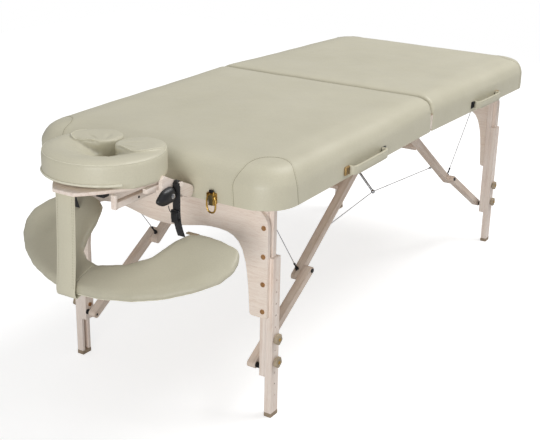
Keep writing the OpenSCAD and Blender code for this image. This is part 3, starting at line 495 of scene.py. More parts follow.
# each CAD node takes the finish of the first of these that its name starts with, or else the vinyl
finishOf = dict(
    deck=deckBoard, side_rails=mapleLong, cradle_plates=mapleLong, platform=mapleLong,
    cross_rails=mapleCross, cradle_base=mapleCross, upper_legs=mapleUp, extension=mapleUp,
    end_panel=mapleBoardLit, hinge=steel, pivot_plates=steel, centre_struts=steel, stay_cables=cableSteel,
    leg_screws=screwBrass, handle_brackets=brass, latch=brass, knee_bolts=blackSteel, leg_pins=blackSteel,
    foot=tanRubber, knob=tanPlastic, cam_knob=blackPlastic, webbing_straps=webWeave,
    strap_buckles=blackPlastic)
braces = dict(upper=35.05, lower=31.32, pale=(228, 212, 198), deep=(192, 168, 148))
for end, side in (("head", -1), ("foot", 1)):
    for brace in ("upper", "lower"):
        lie = (0, side * radians(braces[brace]), 0)
        name = "maple" + brace.title() + end.title()
        finishOf[brace + "_links_" + end] = mapleFinish(name, lie, braces["pale"], braces["deep"])
for n, obj in nodes.items():
    finish = next((f for start, f in finishOf.items() if n.startswith(start)), vinyl)
    if not obj.data.materials:
        obj.data.materials.append(finish)
    for slot in obj.material_slots:
        slot.link = "OBJECT"
        slot.material = finish
print("finishes made")


def dress(obj, finish, body, slotName, *replaced):
    obj.data.materials.clear()
    obj.data.materials.append(finish)
    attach(obj, body)
    if replaced:
        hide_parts(*replaced)
    return obj


# stay cables: the truss cables run from the struts to the upper links, and stay cables from the leg tops to
# the knees
cables = dict(
    radius=0.0013, slack=0.05, gap=0.008, strutEnd=(0, 0.220, 0.408), link=(0.4292, 0.2402, 0.3868),
    legTop=(0.8346, 0.272, 0.6821), knee=(0.5576, 0.259, 0.3313), sleeve=(0.3, 0.36, 0.62, 0.66, 0.94, 1.0),
    crimp=0.7, plate=(0.0085, 0.004), pin=[(-0.004, 0.002), (0.008, -0.003), (0.018, -0.001)],
    pinRadius=0.0014, clip=(0.016, 0.00243, 0.005), ferrule=(0.018, 0.0027, 0.005),
    terminal=(0.028, 0.003375, 0.0065))


def ferruleAt(name, tip, towards, sizes):  # crimped sleeve with its bolted eye
    length, radius, eyeRadius = sizes
    way = (towards - tip).normalized()
    sleeve = roundRod(name, [tip + way * s * length for s in cables["sleeve"]], radius, 12)
    for v in sleeve.data.vertices:  # the crimp
        d = (v.co - tip).dot(way) / length
        if 0.6 < d < 0.68:
            middle = tip + way * d * length
            v.co = middle + (v.co - middle) * cables["crimp"]
    ring = torus("ring", (eyeRadius * 0.7, eyeRadius * 0.3), (20, 8), tip, (quarter, 0, 0))
    bolt = cylinder("bolt", 6, eyeRadius * 0.55, eyeRadius * 1.6, tip, (quarter, 0, 0))
    return join([sleeve, ring, roundEdges(bolt, 0.0005, 1)], name)


for end, side in (("head", -1), ("foot", 1)):
    for s, sy in (("near", -1), ("far", 1)):
        flip = lambda p: Vector((side * p[0], sy * p[1], p[2]))
        start, stop, top, knee = [flip(cables[spot]) for spot in ("strutEnd", "link", "legTop", "knee")]
        start = start + (stop - start).normalized() * cables["gap"]
        tag = end.title() + s.title()
        half = end + "_half"
        truss = roundRod("trussCable" + tag, [start.lerp(stop, i / 20) for i in range(21)], cables["radius"])
        dress(truss, cableSteel, "centre_pin", "steel", "stay_cables")
        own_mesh(truss)
        clip = ferruleAt("trussClip" + tag, stop, start, cables["clip"])
        dress(clip, steel, "upper_links_" + end, "steel")
        stay = roundRod("kneeCable" + tag, [top.lerp(knee, i / 18) for i in range(19)], cables["radius"])
        stay.data.materials.append(cableSteel)
        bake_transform(stay)
        terminal = ferruleAt("terminal", knee, top, cables["terminal"])
        plate = cylinder("plate", 3, *cables["plate"], knee, (quarter, 0, pi * (side < 0)))
        pinLine = [knee + Vector((-side * d, 0, h)) for d, h in cables["pin"]]
        pin = roundRod("pin", pinLine, cables["pinRadius"])
        terminal = join([terminal, roundEdges(plate, 0.0012), pin], "kneeTerminal" + tag)
        dress(terminal, blackSteel, "upper_links_" + end, "black_steel")
        ferrule = ferruleAt("legTopFerrule" + tag, top, knee, cables["ferrule"])
        dress(ferrule, blackSteel, half, "black_steel")
print("cables strung")


def cadCopy(node, name):  # a merged copy of a CAD solid, to be upholstered
    obj = addObject(name, nodes[node].data.copy())
    editAll(obj)
    bpy.ops.mesh.remove_doubles(threshold=mergeWithin)
    endEdit()
    return obj


def inflate(obj, pressure, cap, held, frames=16, stiffness=12):  # cloth filled with air, each move capped
    rest = [v.co.copy() for v in obj.data.vertices]
    pick(obj)
    cloth = obj.modifiers.new("filling", "CLOTH")
    s = cloth.settings
    s.quality, s.mass = 4, 0.25
    s.use_pressure, s.uniform_pressure_force = True, pressure
    s.tension_stiffness = s.compression_stiffness = stiffness
    s.effector_weights.gravity = 0
    cloth.collision_settings.use_collision = False
    if held:
        group = obj.vertex_groups.new(name="held")
        for v in obj.data.vertices:
            k = held(v.co)
            if k > 0:
                group.add([v.index], k, "REPLACE")
        s.vertex_group_mass = "held"
    cloth.point_cache.frame_start, cloth.point_cache.frame_end = 1, frames
    for f in range(1, frames + 1):
        scene.frame_set(f)
    bpy.ops.object.modifier_apply(modifier=cloth.name)
    scene.frame_set(1)
    for v, r in zip(obj.data.vertices, rest):
        d = v.co - r
        if d.length > cap:
            v.co = r + d.normalized() * cap
    obj.vertex_groups.clear()
    return obj


def outward(obj):  # every vertex with the normal it had before any was moved
    return list(zip(obj.data.vertices, [v.normal.copy() for v in obj.data.vertices]))


def relax(obj, times):
    editAll(obj)
    bpy.ops.mesh.vertices_smooth(factor=0.5, repeat=times)
    endEdit()


def upholster(obj, sizes, held=None):  # an even skin, filled and then made finer
    pick(obj)
    obj.data.remesh_voxel_size = sizes["voxel"] * 1
    obj.data.remesh_voxel_adaptivity = 0
    bpy.ops.object.voxel_remesh()
    relax(obj, sizes["relaxed"][0])
    inflate(obj, sizes["pressure"], sizes["cap"], held)
    relax(obj, sizes["relaxed"][1])
    sub = obj.modifiers.new("fine", "SUBSURF")
    sub.levels = sub.render_levels = 1
    applyModifiers(obj)


# the two table cushions: one is upholstered and mirrored, and then each is drawn in
cushion = dict(
    voxel=0.0085, pressure=2.2, cap=0.0022, relaxed=(4, 3), butt=0.0108, grow=(1.00216, 1.00485, 1),
    endDraw=0.007, farDraw=0.009, farDrop=0.003, foamBase=0.0563, hem=-0.024, hemCut=0.0004, cover=0.0019,
    length=0.927, halfWidth=0.414, corner=0.095, ripple=0.0006, midGap=0.0006, postHole=0.0092,
    postAt=(0.105, 0.02205), heldEnd=0.02, heldTop=0.078, crownFrom=0.06, crownRise=0.04)


def foamBlank():  # the CAD pad's foam, butted at the hinge and drawn down to the hem of its skirt
    pad = cadCopy("pad_head", "cushionHead")
    editAll(pad)
    bpy.ops.mesh.separate(type="LOOSE")
    endEdit()
    pad, *others = sorted(bpy.context.selected_objects, key=lambda o: -max(v.co.z for v in o.data.vertices))
    for o in others:
        bpy.data.objects.remove(o)
    pad.name = "cushionHead"
    widest = {}
    for v in pad.data.vertices:
        level = round(halfPlace(v.co)[1], 4)
        widest[level] = max(widest.get(level, 0), abs(v.co.y))
    for v in pad.data.vertices:
        u, w = halfPlace(v.co)
        if u < cushion["butt"] and abs(v.co.y) > widest[round(w, 4)] - cushion["butt"]:
            v.co.y = copysign(widest[round(w, 4)], v.co.y)
    base = cushion["foamBase"] + 0.001
    editAll(pad)
    chooseVertices(pad, lambda co: halfPlace(co)[1] < base)
    bpy.ops.transform.resize(value=cushion["grow"], center_override=(0, 0, 0))
    bpy.ops.mesh.select_mode(type="FACE")
    shape = bmesh.from_edit_mesh(pad.data)
    for f in shape.faces:
        f.select_set(f.normal.z < -0.9 and halfPlace(f.calc_center_median())[1] < base)
    bmesh.update_edit_mesh(pad.data)
    drop = onHead(0, 0, cushion["hem"]) - onHead(0, 0, cushion["foamBase"])
    bpy.ops.mesh.extrude_region_move(TRANSFORM_OT_translate={"value": tuple(drop)})
    endOutward()
    return pad


def skirtHollow():  # the space of the deck and rails inside the skirt, with the cover's round corners
    reach, half = cushion["length"] - cushion["cover"], cushion["halfWidth"] - cushion["cover"]
    hollow = plank("hollow", (-0.03, reach), (-half, half), (-0.08, cushion["foamBase"]))
    editAll(hollow)
    bpy.ops.mesh.select_mode(type="EDGE")
    shape = bmesh.from_edit_mesh(hollow.data)
    for e in shape.edges:
        a, b = e.verts
        e.select_set(abs((a.co - b.co).normalized().z) > 0.9 and (a.co.x + b.co.x) / 2 < -0.5)
    bmesh.update_edit_mesh(hollow.data)
    bpy.ops.mesh.bevel(offset=cushion["corner"] - cushion["cover"], segments=14)
    endOutward()
    return hollow


def crown(w):  # 0 at the cushion's side, 1 on its top
    return clamp((w - cushion["crownFrom"]) / cushion["crownRise"])


def heldBelow(co):
    u, w = halfPlace(co)
    return 1.0 if u < cushion["heldEnd"] else clamp((cushion["heldTop"] - w) / 0.02)


def makeCushion():
    pad = foamBlank()
    upholster(pad, cushion, heldBelow)
    for v, out in outward(pad):  # slow ripples of the foam, and a straight butt at the hinge
        v.co += out * noise.noise(v.co * 9) * cushion["ripple"] * crown(halfPlace(v.co)[1]) * 2
        v.co.x = min(v.co.x, -cushion["midGap"])
    trim(pad, skirtHollow())
    for side in (-1, 1):
        at = onHead(cushion["length"], side * cushion["postAt"][0], cushion["postAt"][1])
        trim(pad, cylinder("postHole", 28, cushion["postHole"], 0.04, at, (0, quarter - archTilt, 0)))
    editAll(pad)
    bpy.ops.mesh.bisect(plane_co=tuple(onHead(0.4, 0, cushion["hemCut"])), plane_no=tuple(headUp),
                        use_fill=True, clear_inner=True)
    endEdit()
    bpy.ops.object.shade_smooth_by_angle(angle=radians(50))
    return pad


def drawIn(pad, far):  # the crown draws in a little at the end, and at the far side
    for v in pad.data.vertices:
        u, w = halfPlace(v.co)
        k = crown(w) * (u / cushion["length"]) ** 2
        v.co.x -= copysign(cushion["endDraw"] * k, v.co.x)
        if far and v.co.y > 0:
            t = k * (v.co.y / cushion["halfWidth"]) ** 3
            v.co.y -= cushion["farDraw"] * t
            v.co.z -= cushion["farDrop"] * t


cushionHead = makeCushion()
cushionFoot = footTwin(cushionHead)
drawIn(cushionHead, True)
drawIn(cushionFoot, False)
dress(cushionHead, vinyl, "head_half", "vinyl", "pad_head")
dress(cushionFoot, vinyl, "foot_half", "vinyl", "pad_foot")
print("cushions filled,", len(cushionHead.data.polygons), "faces each")


def layOn(tree, points, lift):  # points let down on a surface
    out = []
    for p in points:
        spot, normal, _, _ = tree.find_nearest(Vector(p))
        out.append(spot + normal * lift)
    return out


def skinOf(obj):
    return BVHTree.FromObject(obj, bpy.context.evaluated_depsgraph_get())


# corner patches of the covers: one seam is measured and mirrored to all four corners
cornerPatch = dict(
    radius=0.0008, lift=-0.0003, stitchOff=0.0045, stitchRadius=0.00035, sideFrom=0.36,
    path=[ (-0.929, -0.285, 0.634), (-0.929, -0.283, 0.665), (-0.928, -0.282, 0.696),
    (-0.918, -0.291, 0.722), (-0.905, -0.297, 0.734), (-0.891, -0.299, 0.741), (-0.868, -0.304, 0.742),
    (-0.847, -0.316, 0.742), (-0.827, -0.335, 0.742), (-0.817, -0.357, 0.741), (-0.822, -0.382, 0.735),
    (-0.834, -0.401, 0.722), (-0.836, -0.412, 0.700), (-0.831, -0.415, 0.668), (-0.825, -0.415, 0.634)])
rawSeam = smoothPath(cornerPatch["path"], 8)
for end, pad, sx in (("Head", cushionHead, 1), ("Foot", cushionFoot, -1)):
    skin = skinOf(pad)
    for s, sy in (("Near", 1), ("Far", -1)):
        line = layOn(skin, [Vector((p.x * sx, p.y * sy, p.z)) for p in rawSeam], cornerPatch["lift"])
        seam = roundRod("cornerSeam" + end + s, line, cornerPatch["radius"])
        shifts = Vector((cornerPatch["stitchOff"] * sx, 0, 0)), Vector((0, cornerPatch["stitchOff"] * sy, 0))
        beside = [p + shifts[abs(p.y) < cornerPatch["sideFrom"]] for p in line]
        row = stitchRow("cornerStitch" + end + s, layOn(skin, beside, 0.0), cornerPatch["stitchRadius"])
        dress(seam, seamShade, end.lower() + "_half", "vinyl")
        dress(row, stitchThread, end.lower() + "_half", "vinyl")
print("corner seams sewn")


# carrying handles: a padded strap whose ends turn back to the side, a clip whose slots are dark plates of
# painted shade, and a bent ring with its plate and tab in black, painted shade for the dark inside of the
# strap's loop and the bracket's shadow
handle = dict(
    start=0.3575, finish=0.5605, bow=0.025, ramp=0.0225, base=0.414, low=0.01175, height=0.025,
    thickness=0.0062, skin=0.0025, dip=0.0007, fold=0.0003, stitchShare=0.34, clipHalf=0.0125,
    slots=(-0.0055, 0.004), slotHalf=0.0016, slotLean=0.35, ring=(0.0105, 0.0017), ringLean=32)


def makeHandle():
    a, b, r, inset = handle["start"], handle["finish"], handle["ramp"], handle["thickness"] / 2
    bow = handle["bow"] - inset
    rise = [(inset, handle["skin"]), (inset - r * 0.18, bow * 0.5), (r * 0.2, bow * 0.86), (r, bow)]
    fall = [(b - u, y) for u, y in reversed(rise)]
    line = [(a + u, y) for u, y in rise] + [((a + b) / 2, bow + 0.0006)] + fall
    middle = handle["low"] + handle["height"] / 2
    path = smoothPath([onHead(u, -(handle["base"] + y), middle) for u, y in line], 6)
    grip = flatStrap("handleHead", path, headUp, handle["height"], handle["thickness"])
    for v in grip.data.vertices:  # the folded edges stand a little proud of the stitched middle
        u, w = halfPlace(v.co)
        t = abs(w - middle) / (handle["height"] / 2)
        if a + r * 0.5 < u < b - r * 0.5:
            inwards = 1 if v.co.y < -(handle["base"] + bow) else -1
            v.co.y += (handle["dip"] if 0.25 < t < 0.8 else -handle["fold"]) * inwards
    stitches = []
    for edge in (-1, 1):
        shift = headUp * edge * handle["height"] * handle["stitchShare"] + Vector((0, -inset - 0.0002, 0))
        face = [p + shift for p in path if a + r * 0.6 < halfPlace(p)[0] < b - r * 0.6]
        stitches.append(stitchRow("handleStitchHead", face))
    return grip, join(stitches, "handleStitchHead")


def makeClips():
    side, low, half = -handle["base"], handle["low"], handle["clipHalf"]
    high = low + handle["height"]
    u = handle["finish"] + half
    clip = plank("handleClipHead", (u - half, u + half), (side - 0.0062, side - 0.0004),
                 (low + 0.0005, high - 0.0005))
    slots = []
    # the slots are dark plates on the clip's face: painted shade in the openings
    for middle in (u + shift for shift in handle["slots"]):
        slot = plank("slot", (middle - handle["slotHalf"], middle + handle["slotHalf"]),
                     (side - 0.0066, side - 0.0058), (low + 0.004, high - 0.004))
        for v in slot.data.vertices:
            v.co.x += (halfPlace(v.co)[1] - (low + high) / 2) * handle["slotLean"]
        slots.append(slot)
    # the far bracket: ring, plate and tab in black steel, painted shade for the dark inside of the strap's
    # loop and the bracket's shadow
    u = handle["start"] - half
    ringAt = onHead(u, side - 0.0026, low + 0.011)
    ring = torus("ring", handle["ring"], (3, 10), ringAt, (quarter, radians(handle["ringLean"]), 0))
    plate = plank("plate", (u - half, u + half), (side - 0.0026, side - 0.0004), (low + 0.001, high - 0.001))
    tab = plank("tab", (u - 0.004, u + 0.011), (side - 0.006, side - 0.0024), (high - 0.009, high - 0.002))
    for piece in (plate, tab):
        roundEdges(piece, 0.0008)
    roundEdges(clip, 0.0016, 3)
    return clip, join(slots, "handleSlotHead"), join([ring, plate, tab], "handleRingHead")


grip, gripStitch = makeHandle()
clip, slots, ring = makeClips()
for piece, finish, slotName, node in ((grip, vinyl, "vinyl", "handle_"),
                                      (gripStitch, stitchThread, "vinyl", None),
                                      (clip, tanBrass, "brass", "handle_brackets_"),
                                      (slots, blackPlastic, "black_plastic", None),
                                      (ring, blackSteel, "black_steel", None)):
    for end, obj in (("head", piece), ("foot", footTwin(piece))):
        dress(obj, finish, end + "_half", slotName, *([node + end] if node else []))
print("handles wrapped")

# crescent face pillow: a section spun round the face opening, closed by a round horn at each end
crescent = dict(
    centre=1.075, reach=0.0885, half=0.0635, widen=1.04, horn=50, bottom=0.0778, top=0.1475, hornFoot=0.86,
    voxel=0.0045, pressure=2.0, cap=0.003, relaxed=(2, 1), belt=0.0935, taper=0.024, taperAngle=(66, 22),
    topFrom=0.118, lens=44, lensRise=0.0036, gathers=13, gatherDepth=0.0026, ripple=0.0012,
    section=[(0.90, 0.0778), (0.98, 0.0800), (1, 0.086), (1, 0.138), (0.95, 0.1465), (0.8, 0.1495),
    (0.3, 0.1480), (-0.3, 0.1390), (-0.75, 0.1270), (-1, 0.1150), (-1, 0.0960), (-0.7, 0.0778)])


def crescentSpot(turn, across, w):  # a point of the crescent, across 1 outside and -1 inside
    r = crescent["reach"] + across * crescent["half"]
    return onHead(crescent["centre"] - r * cos(turn), r * crescent["widen"] * sin(turn), w)


def pillowRing(across, w, lead=0, steps=72):  # a line round the crescent, lead degrees past each horn
    horn = radians(crescent["horn"] - lead)
    return [crescentSpot(horn + i * (2 * pi - 2 * horn) / steps, across, w) for i in range(steps + 1)]


def lobeTurn(across):  # the curved edge of the raised panel on each lobe, in degrees from the table's side
    return crescent["horn"] + crescent["lens"] * (1 - ((across + 0.1) / 1.15) ** 2)


def crescentBlank():
    clearSelection()
    bpy.ops.mesh.primitive_circle_add(vertices=len(crescent["section"]), radius=1, fill_type="NGON")
    roll = ownPlace("facePillow")
    for v, (across, w) in zip(roll.data.vertices, crescent["section"]):
        v.co = (crescent["reach"] + across * crescent["half"], 0, w)
    horn = radians(crescent["horn"])
    editAll(roll)
    bpy.ops.transform.rotate(value=-horn, orient_axis="Z", center_override=(0, 0, 0))
    bpy.ops.mesh.spin(steps=48, angle=2 * pi - 2 * horn, center=(0, 0, 0), axis=(0, 0, -1))
    endOutward()
    low, high = crescent["bottom"], crescent["top"]
    pieces = [roll]
    for side in (-1, 1):
        at = (crescent["reach"] * cos(horn), side * crescent["reach"] * sin(horn), (low + high) / 2)
        end = cylinder("horn", 40, crescent["half"], high - low, at)
        for v in end.data.vertices:
            if v.co.z < at[2]:
                v.co.x, v.co.y = [c + (o - c) * crescent["hornFoot"] for o, c in zip(v.co, at[:2])]
        pieces.append(roundEdges(end, 0.007, 3, 30))
    roll = join(pieces, "facePillow")
    for v in roll.data.vertices:  # from the plan to the table's own frame
        v.co = onHead(crescent["centre"] - v.co.x, v.co.y * crescent["widen"], v.co.z)
    editAll(roll)
    endOutward()
    return roll


def makePillow():
    roll = crescentBlank()
    upholster(roll, crescent)
    bottom, belt = crescent["bottom"], crescent["belt"]
    for v, out in outward(roll):
        u, w = halfPlace(v.co)
        du, dy = crescent["centre"] - u, v.co.y / crescent["widen"]
        across = (hypot(du, dy) - crescent["reach"]) / crescent["half"]
        turn = atan2(dy, du)
        top = clamp((w - crescent["topFrom"]) / 0.02)
        if w < belt and across > 0:  # the underside slopes in at the front
            fromFront = degrees(pi - abs(turn))
            front = clamp((crescent["taperAngle"][0] - fromFront) / crescent["taperAngle"][1])
            k = 1 - crescent["taper"] * front * (belt - w) / (belt - bottom) / hypot(du, dy)
            v.co = onHead(crescent["centre"] - du * k, v.co.y * k, w)
        past = degrees(abs(turn)) - lobeTurn(across)
        v.co += headUp * crescent["lensRise"] * top * clamp(0.5 - past / 3)
        if w < bottom + 0.0005:
            v.co += headUp * (bottom + 0.0005 - w)
            continue
        # gathers of the top panel round the face opening, and slow ripples
        fold = sin(turn * crescent["gathers"] + 4 * noise.noise(Vector((turn * 1.5, across, 3))))
        near = max(0.0, 1 - abs(across + 0.35) / 0.6)
        v.co -= headUp * crescent["gatherDepth"] * top * max(0.0, fold) ** 3 * near
        v.co += out * crescent["ripple"] * noise.noise(v.co * 16)
    pick(roll)
    bpy.ops.object.shade_smooth()
    return roll


facePillow = makePillow()
dress(facePillow, vinyl, "pillow", "vinyl", "pillow")
trims = [("pillowSeam", pillowRing(0.99, 0.1455), 0.0001, 0.0010),
         ("pillowPiping", pillowRing(1.0, crescent["belt"], -76), 0.0006, 0.0034)]
for side, tag in ((-1, "Near"), (1, "Far")):  # the seam across each lobe
    steps = [i / 24 * 1.75 - 0.8 for i in range(25)]
    seam = [crescentSpot(side * radians(lobeTurn(across)), across, 0.16) for across in steps]
    trims.append(("lobeSeam" + tag, seam, 0.0003, 0.0015))
skin = skinOf(facePillow)
# the seams and piping take the paler vinyl, a painted highlight along their edges
for name, line, lift, radius in trims:
    dress(roundRod(name, layOn(skin, line, lift), radius), vinylEdgeHighlight, "pillow", "vinyl")
print("pillow filled,", len(facePillow.data.polygons), "faces")

# platform under the pillow: a plywood crescent on its two arms
board = dict(
    edge=[(1.238, 0.032), (1.212, 0.056), (1.185, 0.078), (1.155, 0.098), (1.110, 0.118), (1.060, 0.134),
    (1.020, 0.140)], shift=-0.007, hole=(0.062, 0.056), holeAt=1.057, mouth=0.04, middle=1.087, low=0.068,
    high=0.077, cutTo=(0.05, 0.09), armTo=1.10, armY=(0.1355, 0.1495), armDepth=0.012, armRadius=0.012,
    tilt=(1.039, 0.040), railTo=1.169, railShort=1.12, railY=(0.096, 0.114), railW=(0.0315, 0.0475),
    post=0.009, bolt=(1.088, 0.0395), boltRadius=0.0034, catch=[(1.146, 1.168), (-0.072, -0.046),
    (0.050, 0.0678)])


def makePlatform():
    low, high, radius, (tiltU, tiltW) = board["low"], board["high"], board["armRadius"], board["tilt"]
    edge = board["edge"] + [(u, -y) for u, y in reversed(board["edge"])]
    plate = cylinder("platformBoard", len(edge), 1, 1)
    order = sorted({(round(v.co.x, 5), round(v.co.y, 5)) for v in plate.data.vertices},
                   key=lambda c: atan2(c[1], c[0]))
    ring = sorted(edge, key=lambda c: atan2(c[1], board["middle"] - c[0]))
    for v in plate.data.vertices:
        u, y = ring[order.index((round(v.co.x, 5), round(v.co.y, 5)))]
        v.co = onHead(u, y + board["shift"], low if v.co.z < 0 else high)
    hole = cylinder("hole", 72, 1, 1)
    for v in hole.data.vertices:
        v.co = onHead(board["holeAt"] - v.co.x * board["hole"][0], v.co.y * board["hole"][1],
                      board["cutTo"][v.co.z > 0])
    trim(plate, hole)
    trim(plate, plank("mouth", (0.90, board["holeAt"]), (-board["mouth"], board["mouth"]), board["cutTo"]))
    parts = [roundEdges(plate, 0.0016)]
    for side in (-1, 1):
        armY, railY = [side * c for c in board["armY"]], [side * c for c in board["railY"]]
        depth = board["armY"][1] - board["armY"][0]
        railEnd = board["railTo" if side < 0 else "railShort"]
        eyeAt = onHead(tiltU, sum(armY) / 2, tiltW)
        bars = [plank("arm", (tiltU, board["armTo"]), armY, (low - board["armDepth"], low + 0.0005)),
                plank("heel", (tiltU - radius, tiltU + radius), armY, (tiltW, low)),
                cylinder("eye", 32, radius, depth, eyeAt, (quarter, 0, 0)),
                plank("rail", (tiltU - 0.02, railEnd), railY, board["railW"])]
        if side < 0:
            bars.append(plank("post", (railEnd, railEnd + board["post"]),
                              (railY[1] - 0.002, railY[0] - 0.006), (board["railW"][0], low + 0.0005)))
        parts += [roundEdges(bar, 0.0012) for bar in bars]
    return join(parts, "platformBoard")


dress(makePlatform(), mapleLong, "platform", "maple", "platform")
boltAt = onHead(board["bolt"][0], -board["railY"][1], board["bolt"][1])
clearSelection()
bpy.ops.mesh.primitive_uv_sphere_add(segments=20, ring_count=10, radius=board["boltRadius"], location=boltAt)
bolt = ownPlace("railBolt")
for v in bolt.data.vertices:  # a flattened head
    v.co.y = boltAt.y + (v.co.y - boltAt.y) * 0.5
bpy.ops.object.shade_smooth()
dress(bolt, blackSteel, "platform", "black_steel")
catch = roundEdges(plank("platformCatch", *board["catch"]), 0.003, 3)
dress(catch, blackPlastic, "platform", "black_plastic")
print("platform cut")

# arm shelf: a filled crescent hung under the cradle
shelfShape = dict(
    back=-0.940, front=-1.230, fall=0.119, high=0.576, voxel=0.006, pressure=2.0, cap=0.003, relaxed=(2, 2),
    ripple=0.0008, backRise=0.010, backFrom=-1.08, slitHalf=0.0011, slitY=-0.0155, hub=-1.0,
    pipingDrop=0.0225, pipingFrom=96, pipingSteps=130, pipingClear=0.12)
slope = shelfShape["fall"] / (shelfShape["back"] - shelfShape["front"])


def shelfTop(x):
    return shelfShape["high"] - (shelfShape["back"] - x) * slope


def makeShelf():
    shelf = cadCopy("arm_shelf", "armShelf")
    upholster(shelf, shelfShape)
    for v, out in outward(shelf):
        v.co += out * noise.noise(v.co * 14) * shelfShape["ripple"]
        v.co.z += shelfShape["backRise"] * clamp((v.co.x - shelfShape["backFrom"]) / 0.11)
    y, half = shelfShape["slitY"], shelfShape["slitHalf"]
    slit = block("slit", (-1.26, -1.10), (y - half, y + half), (-0.007, 0.03), 0.0002)
    for v in slit.data.vertices:  # the join at the front, where the two arms meet
        v.co.z += shelfTop(v.co.x)
    trim(shelf, slit)
    pick(shelf)
    bpy.ops.object.shade_smooth()
    return shelf


armShelf = makeShelf()
# the shelf takes the darker copy of the vinyl, its painted shade
dress(armShelf, vinylShelfShaded, "cradle", "vinyl", "arm_shelf")
skin = skinOf(armShelf)
hub = Vector((shelfShape["hub"], 0, shelfTop(shelfShape["hub"]) - shelfShape["pipingDrop"]))
piping = []
for i in range(shelfShape["pipingSteps"] + 1):
    a = radians(shelfShape["pipingFrom"]) * (2 * i / shelfShape["pipingSteps"] - 1)
    way = Vector((-cos(a), sin(a), -cos(a) * slope)).normalized()
    spot = skin.ray_cast(hub + way * 0.7, -way)[0]
    if spot and (spot - hub).dot(way) > shelfShape["pipingClear"]:
        piping.append(spot)
# the shelf's piping in the paler vinyl, a painted highlight along its edge
dress(roundRod("shelfPiping", piping, 0.0018), vinylEdgeHighlight, "cradle", "vinyl")
print("arm shelf filled,", len(armShelf.data.polygons), "faces")

# front strap: from the platform down round the front of the shelf, and back under it
frontStrap = dict(
    width=0.060, thickness=0.003, rows=(-0.0265, -0.0215, 0.0245), shift=0.0015, stitchFrom=0.455,
    path=[ (-1.2215, 0.6965), (-1.2225, 0.66), (-1.2248, 0.6), (-1.2285, 0.53), (-1.2335, 0.475),
    (-1.2365, 0.452), (-1.2365, 0.4405), (-1.2335, 0.4315), (-1.226, 0.4295), (-1.2, 0.439),
    (-1.155, 0.4575)])


def makeFrontStrap():
    line = smoothPath([(x, frontStrap["shift"], z) for x, z in frontStrap["path"]], 5)
    band = flatStrap("frontStrap", line, (0, 1, 0), frontStrap["width"], frontStrap["thickness"])
    rows = []
    for y in frontStrap["rows"]:
        off = Vector((-frontStrap["thickness"] / 2 - 0.0002, y, 0))
        rows.append(stitchRow("frontStrapStitch", [p + off for p in line if p.z > frontStrap["stitchFrom"]]))
    return band, join(rows, "frontStrapStitch"), line[0], line[25]


band, bandStitch, bandTop, bandLow = makeFrontStrap()
for piece, finish in ((band, vinyl), (bandStitch, stitchThread)):
    piece.data.materials.clear()
    piece.data.materials.append(finish)
    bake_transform(piece)
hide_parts("front_strap")

# black webbing that carries the back of the shelf, its ladder buckle and the cord of the cam
webbing = dict(
    middle=0.173, width=0.0225, thickness=0.0019, path=[ (-1.0065, 0.6945), (-1.0105, 0.6985),
    (-1.0145, 0.6965), (-1.0153, 0.69), (-1.0153, 0.65), (-1.0151, 0.62), (-1.0125, 0.598), (-1.006, 0.575),
    (-0.9965, 0.552)])
buckle = dict(
    x=(-1.0165, -1.0235), y=(-0.1605, -0.1855), z=(0.604, 0.629), bar=0.005, cheek=0.0035, tail=0.0022,
    cordRadius=0.0011, anchor=[(-1.0158, -1.005), (-0.1635, -0.1775), (0.6945, 0.7045)],
    cord=[(-1.052, 0.650), (-1.050, 0.642), (-1.044, 0.632), (-1.034, 0.6235), (-1.0225, 0.621)])
shelfRest = dict(x=(-0.9785, -0.9895), y=(-0.181, -0.217), height=0.0035)


def makeWebbing():
    line = smoothPath([(x, -webbing["middle"], z) for x, z in webbing["path"]], 6)
    ribbon = flatStrap("webbingNear", line, (0, 1, 0), webbing["width"], webbing["thickness"])
    x, y, z, bar, cheek = [buckle[k] for k in ("x", "y", "z", "bar", "cheek")]
    middle = sum(z) / 2
    cord = smoothPath([(cordX, -webbing["middle"] - 0.003, cordZ) for cordX, cordZ in buckle["cord"]], 6)
    parts = [block("buckleNear", x, y, (z[0], z[0] + bar)), block("bar", x, y, (z[1] - bar, z[1]), 0.0015),
             block("bar", (x[0] - 0.001, x[1] + 0.002), y, (middle - 0.002, middle + 0.002)),
             block("cheek", x, (y[0], y[0] - cheek), z), block("cheek", x, (y[1], y[1] + cheek), z),
             block("tail", (x[1], x[1] - buckle["tail"]), (y[0] - 0.003, y[1] + 0.003),
                   (z[0] - 0.008, z[1] - 0.004), 0.0008),
             block("anchor", *buckle["anchor"], 0.0022), roundRod("cord", cord, buckle["cordRadius"])]
    return ribbon, join(parts, "buckleNear")


ribbonNear, buckleNear = makeWebbing()
for piece, finish, slotName, farName in ((ribbonNear, webWeave, "webbing", "webbingFar"),
                                         (buckleNear, blackPlastic, "black_plastic", "buckleFar")):
    for obj in (piece, mirrorCopy(piece, farName, (0, 1, 0))):
        dress(obj, finish, "cradle", slotName)
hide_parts("webbing_straps")
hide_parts("strap_buckles")
onTop = shelfTop(sum(shelfRest["x"]) / 2)
restZ = (onTop - 0.0005, onTop + shelfRest["height"])
rest = block("shelfRest", shelfRest["x"], shelfRest["y"], restZ, 0.0012)
dress(rest, tanPlastic, "cradle", "black_plastic")
print("straps threaded")

# cam knob: a domed grip spun round its bolt, with a square nut
cam = dict(
    at=(1.039, 0.040), face=0.1632, facets=56, lobes=6, lobeDepth=0.0006, stretch=2.2, deep=1.15,
    droop=0.25, profile=[(0.0, 0), (0.0205, 0), (0.0218, 0.0015), (0.0218, 0.006), (0.0198, 0.0098),
    (0.0165, 0.0128), (0.0125, 0.0148), (0.008, 0.0156), (0, 0.0156)], nut=(0.0052, 0.0048), nutOut=0.0198,
    washer=(0.0068, 0.0012), washerOut=0.0181)


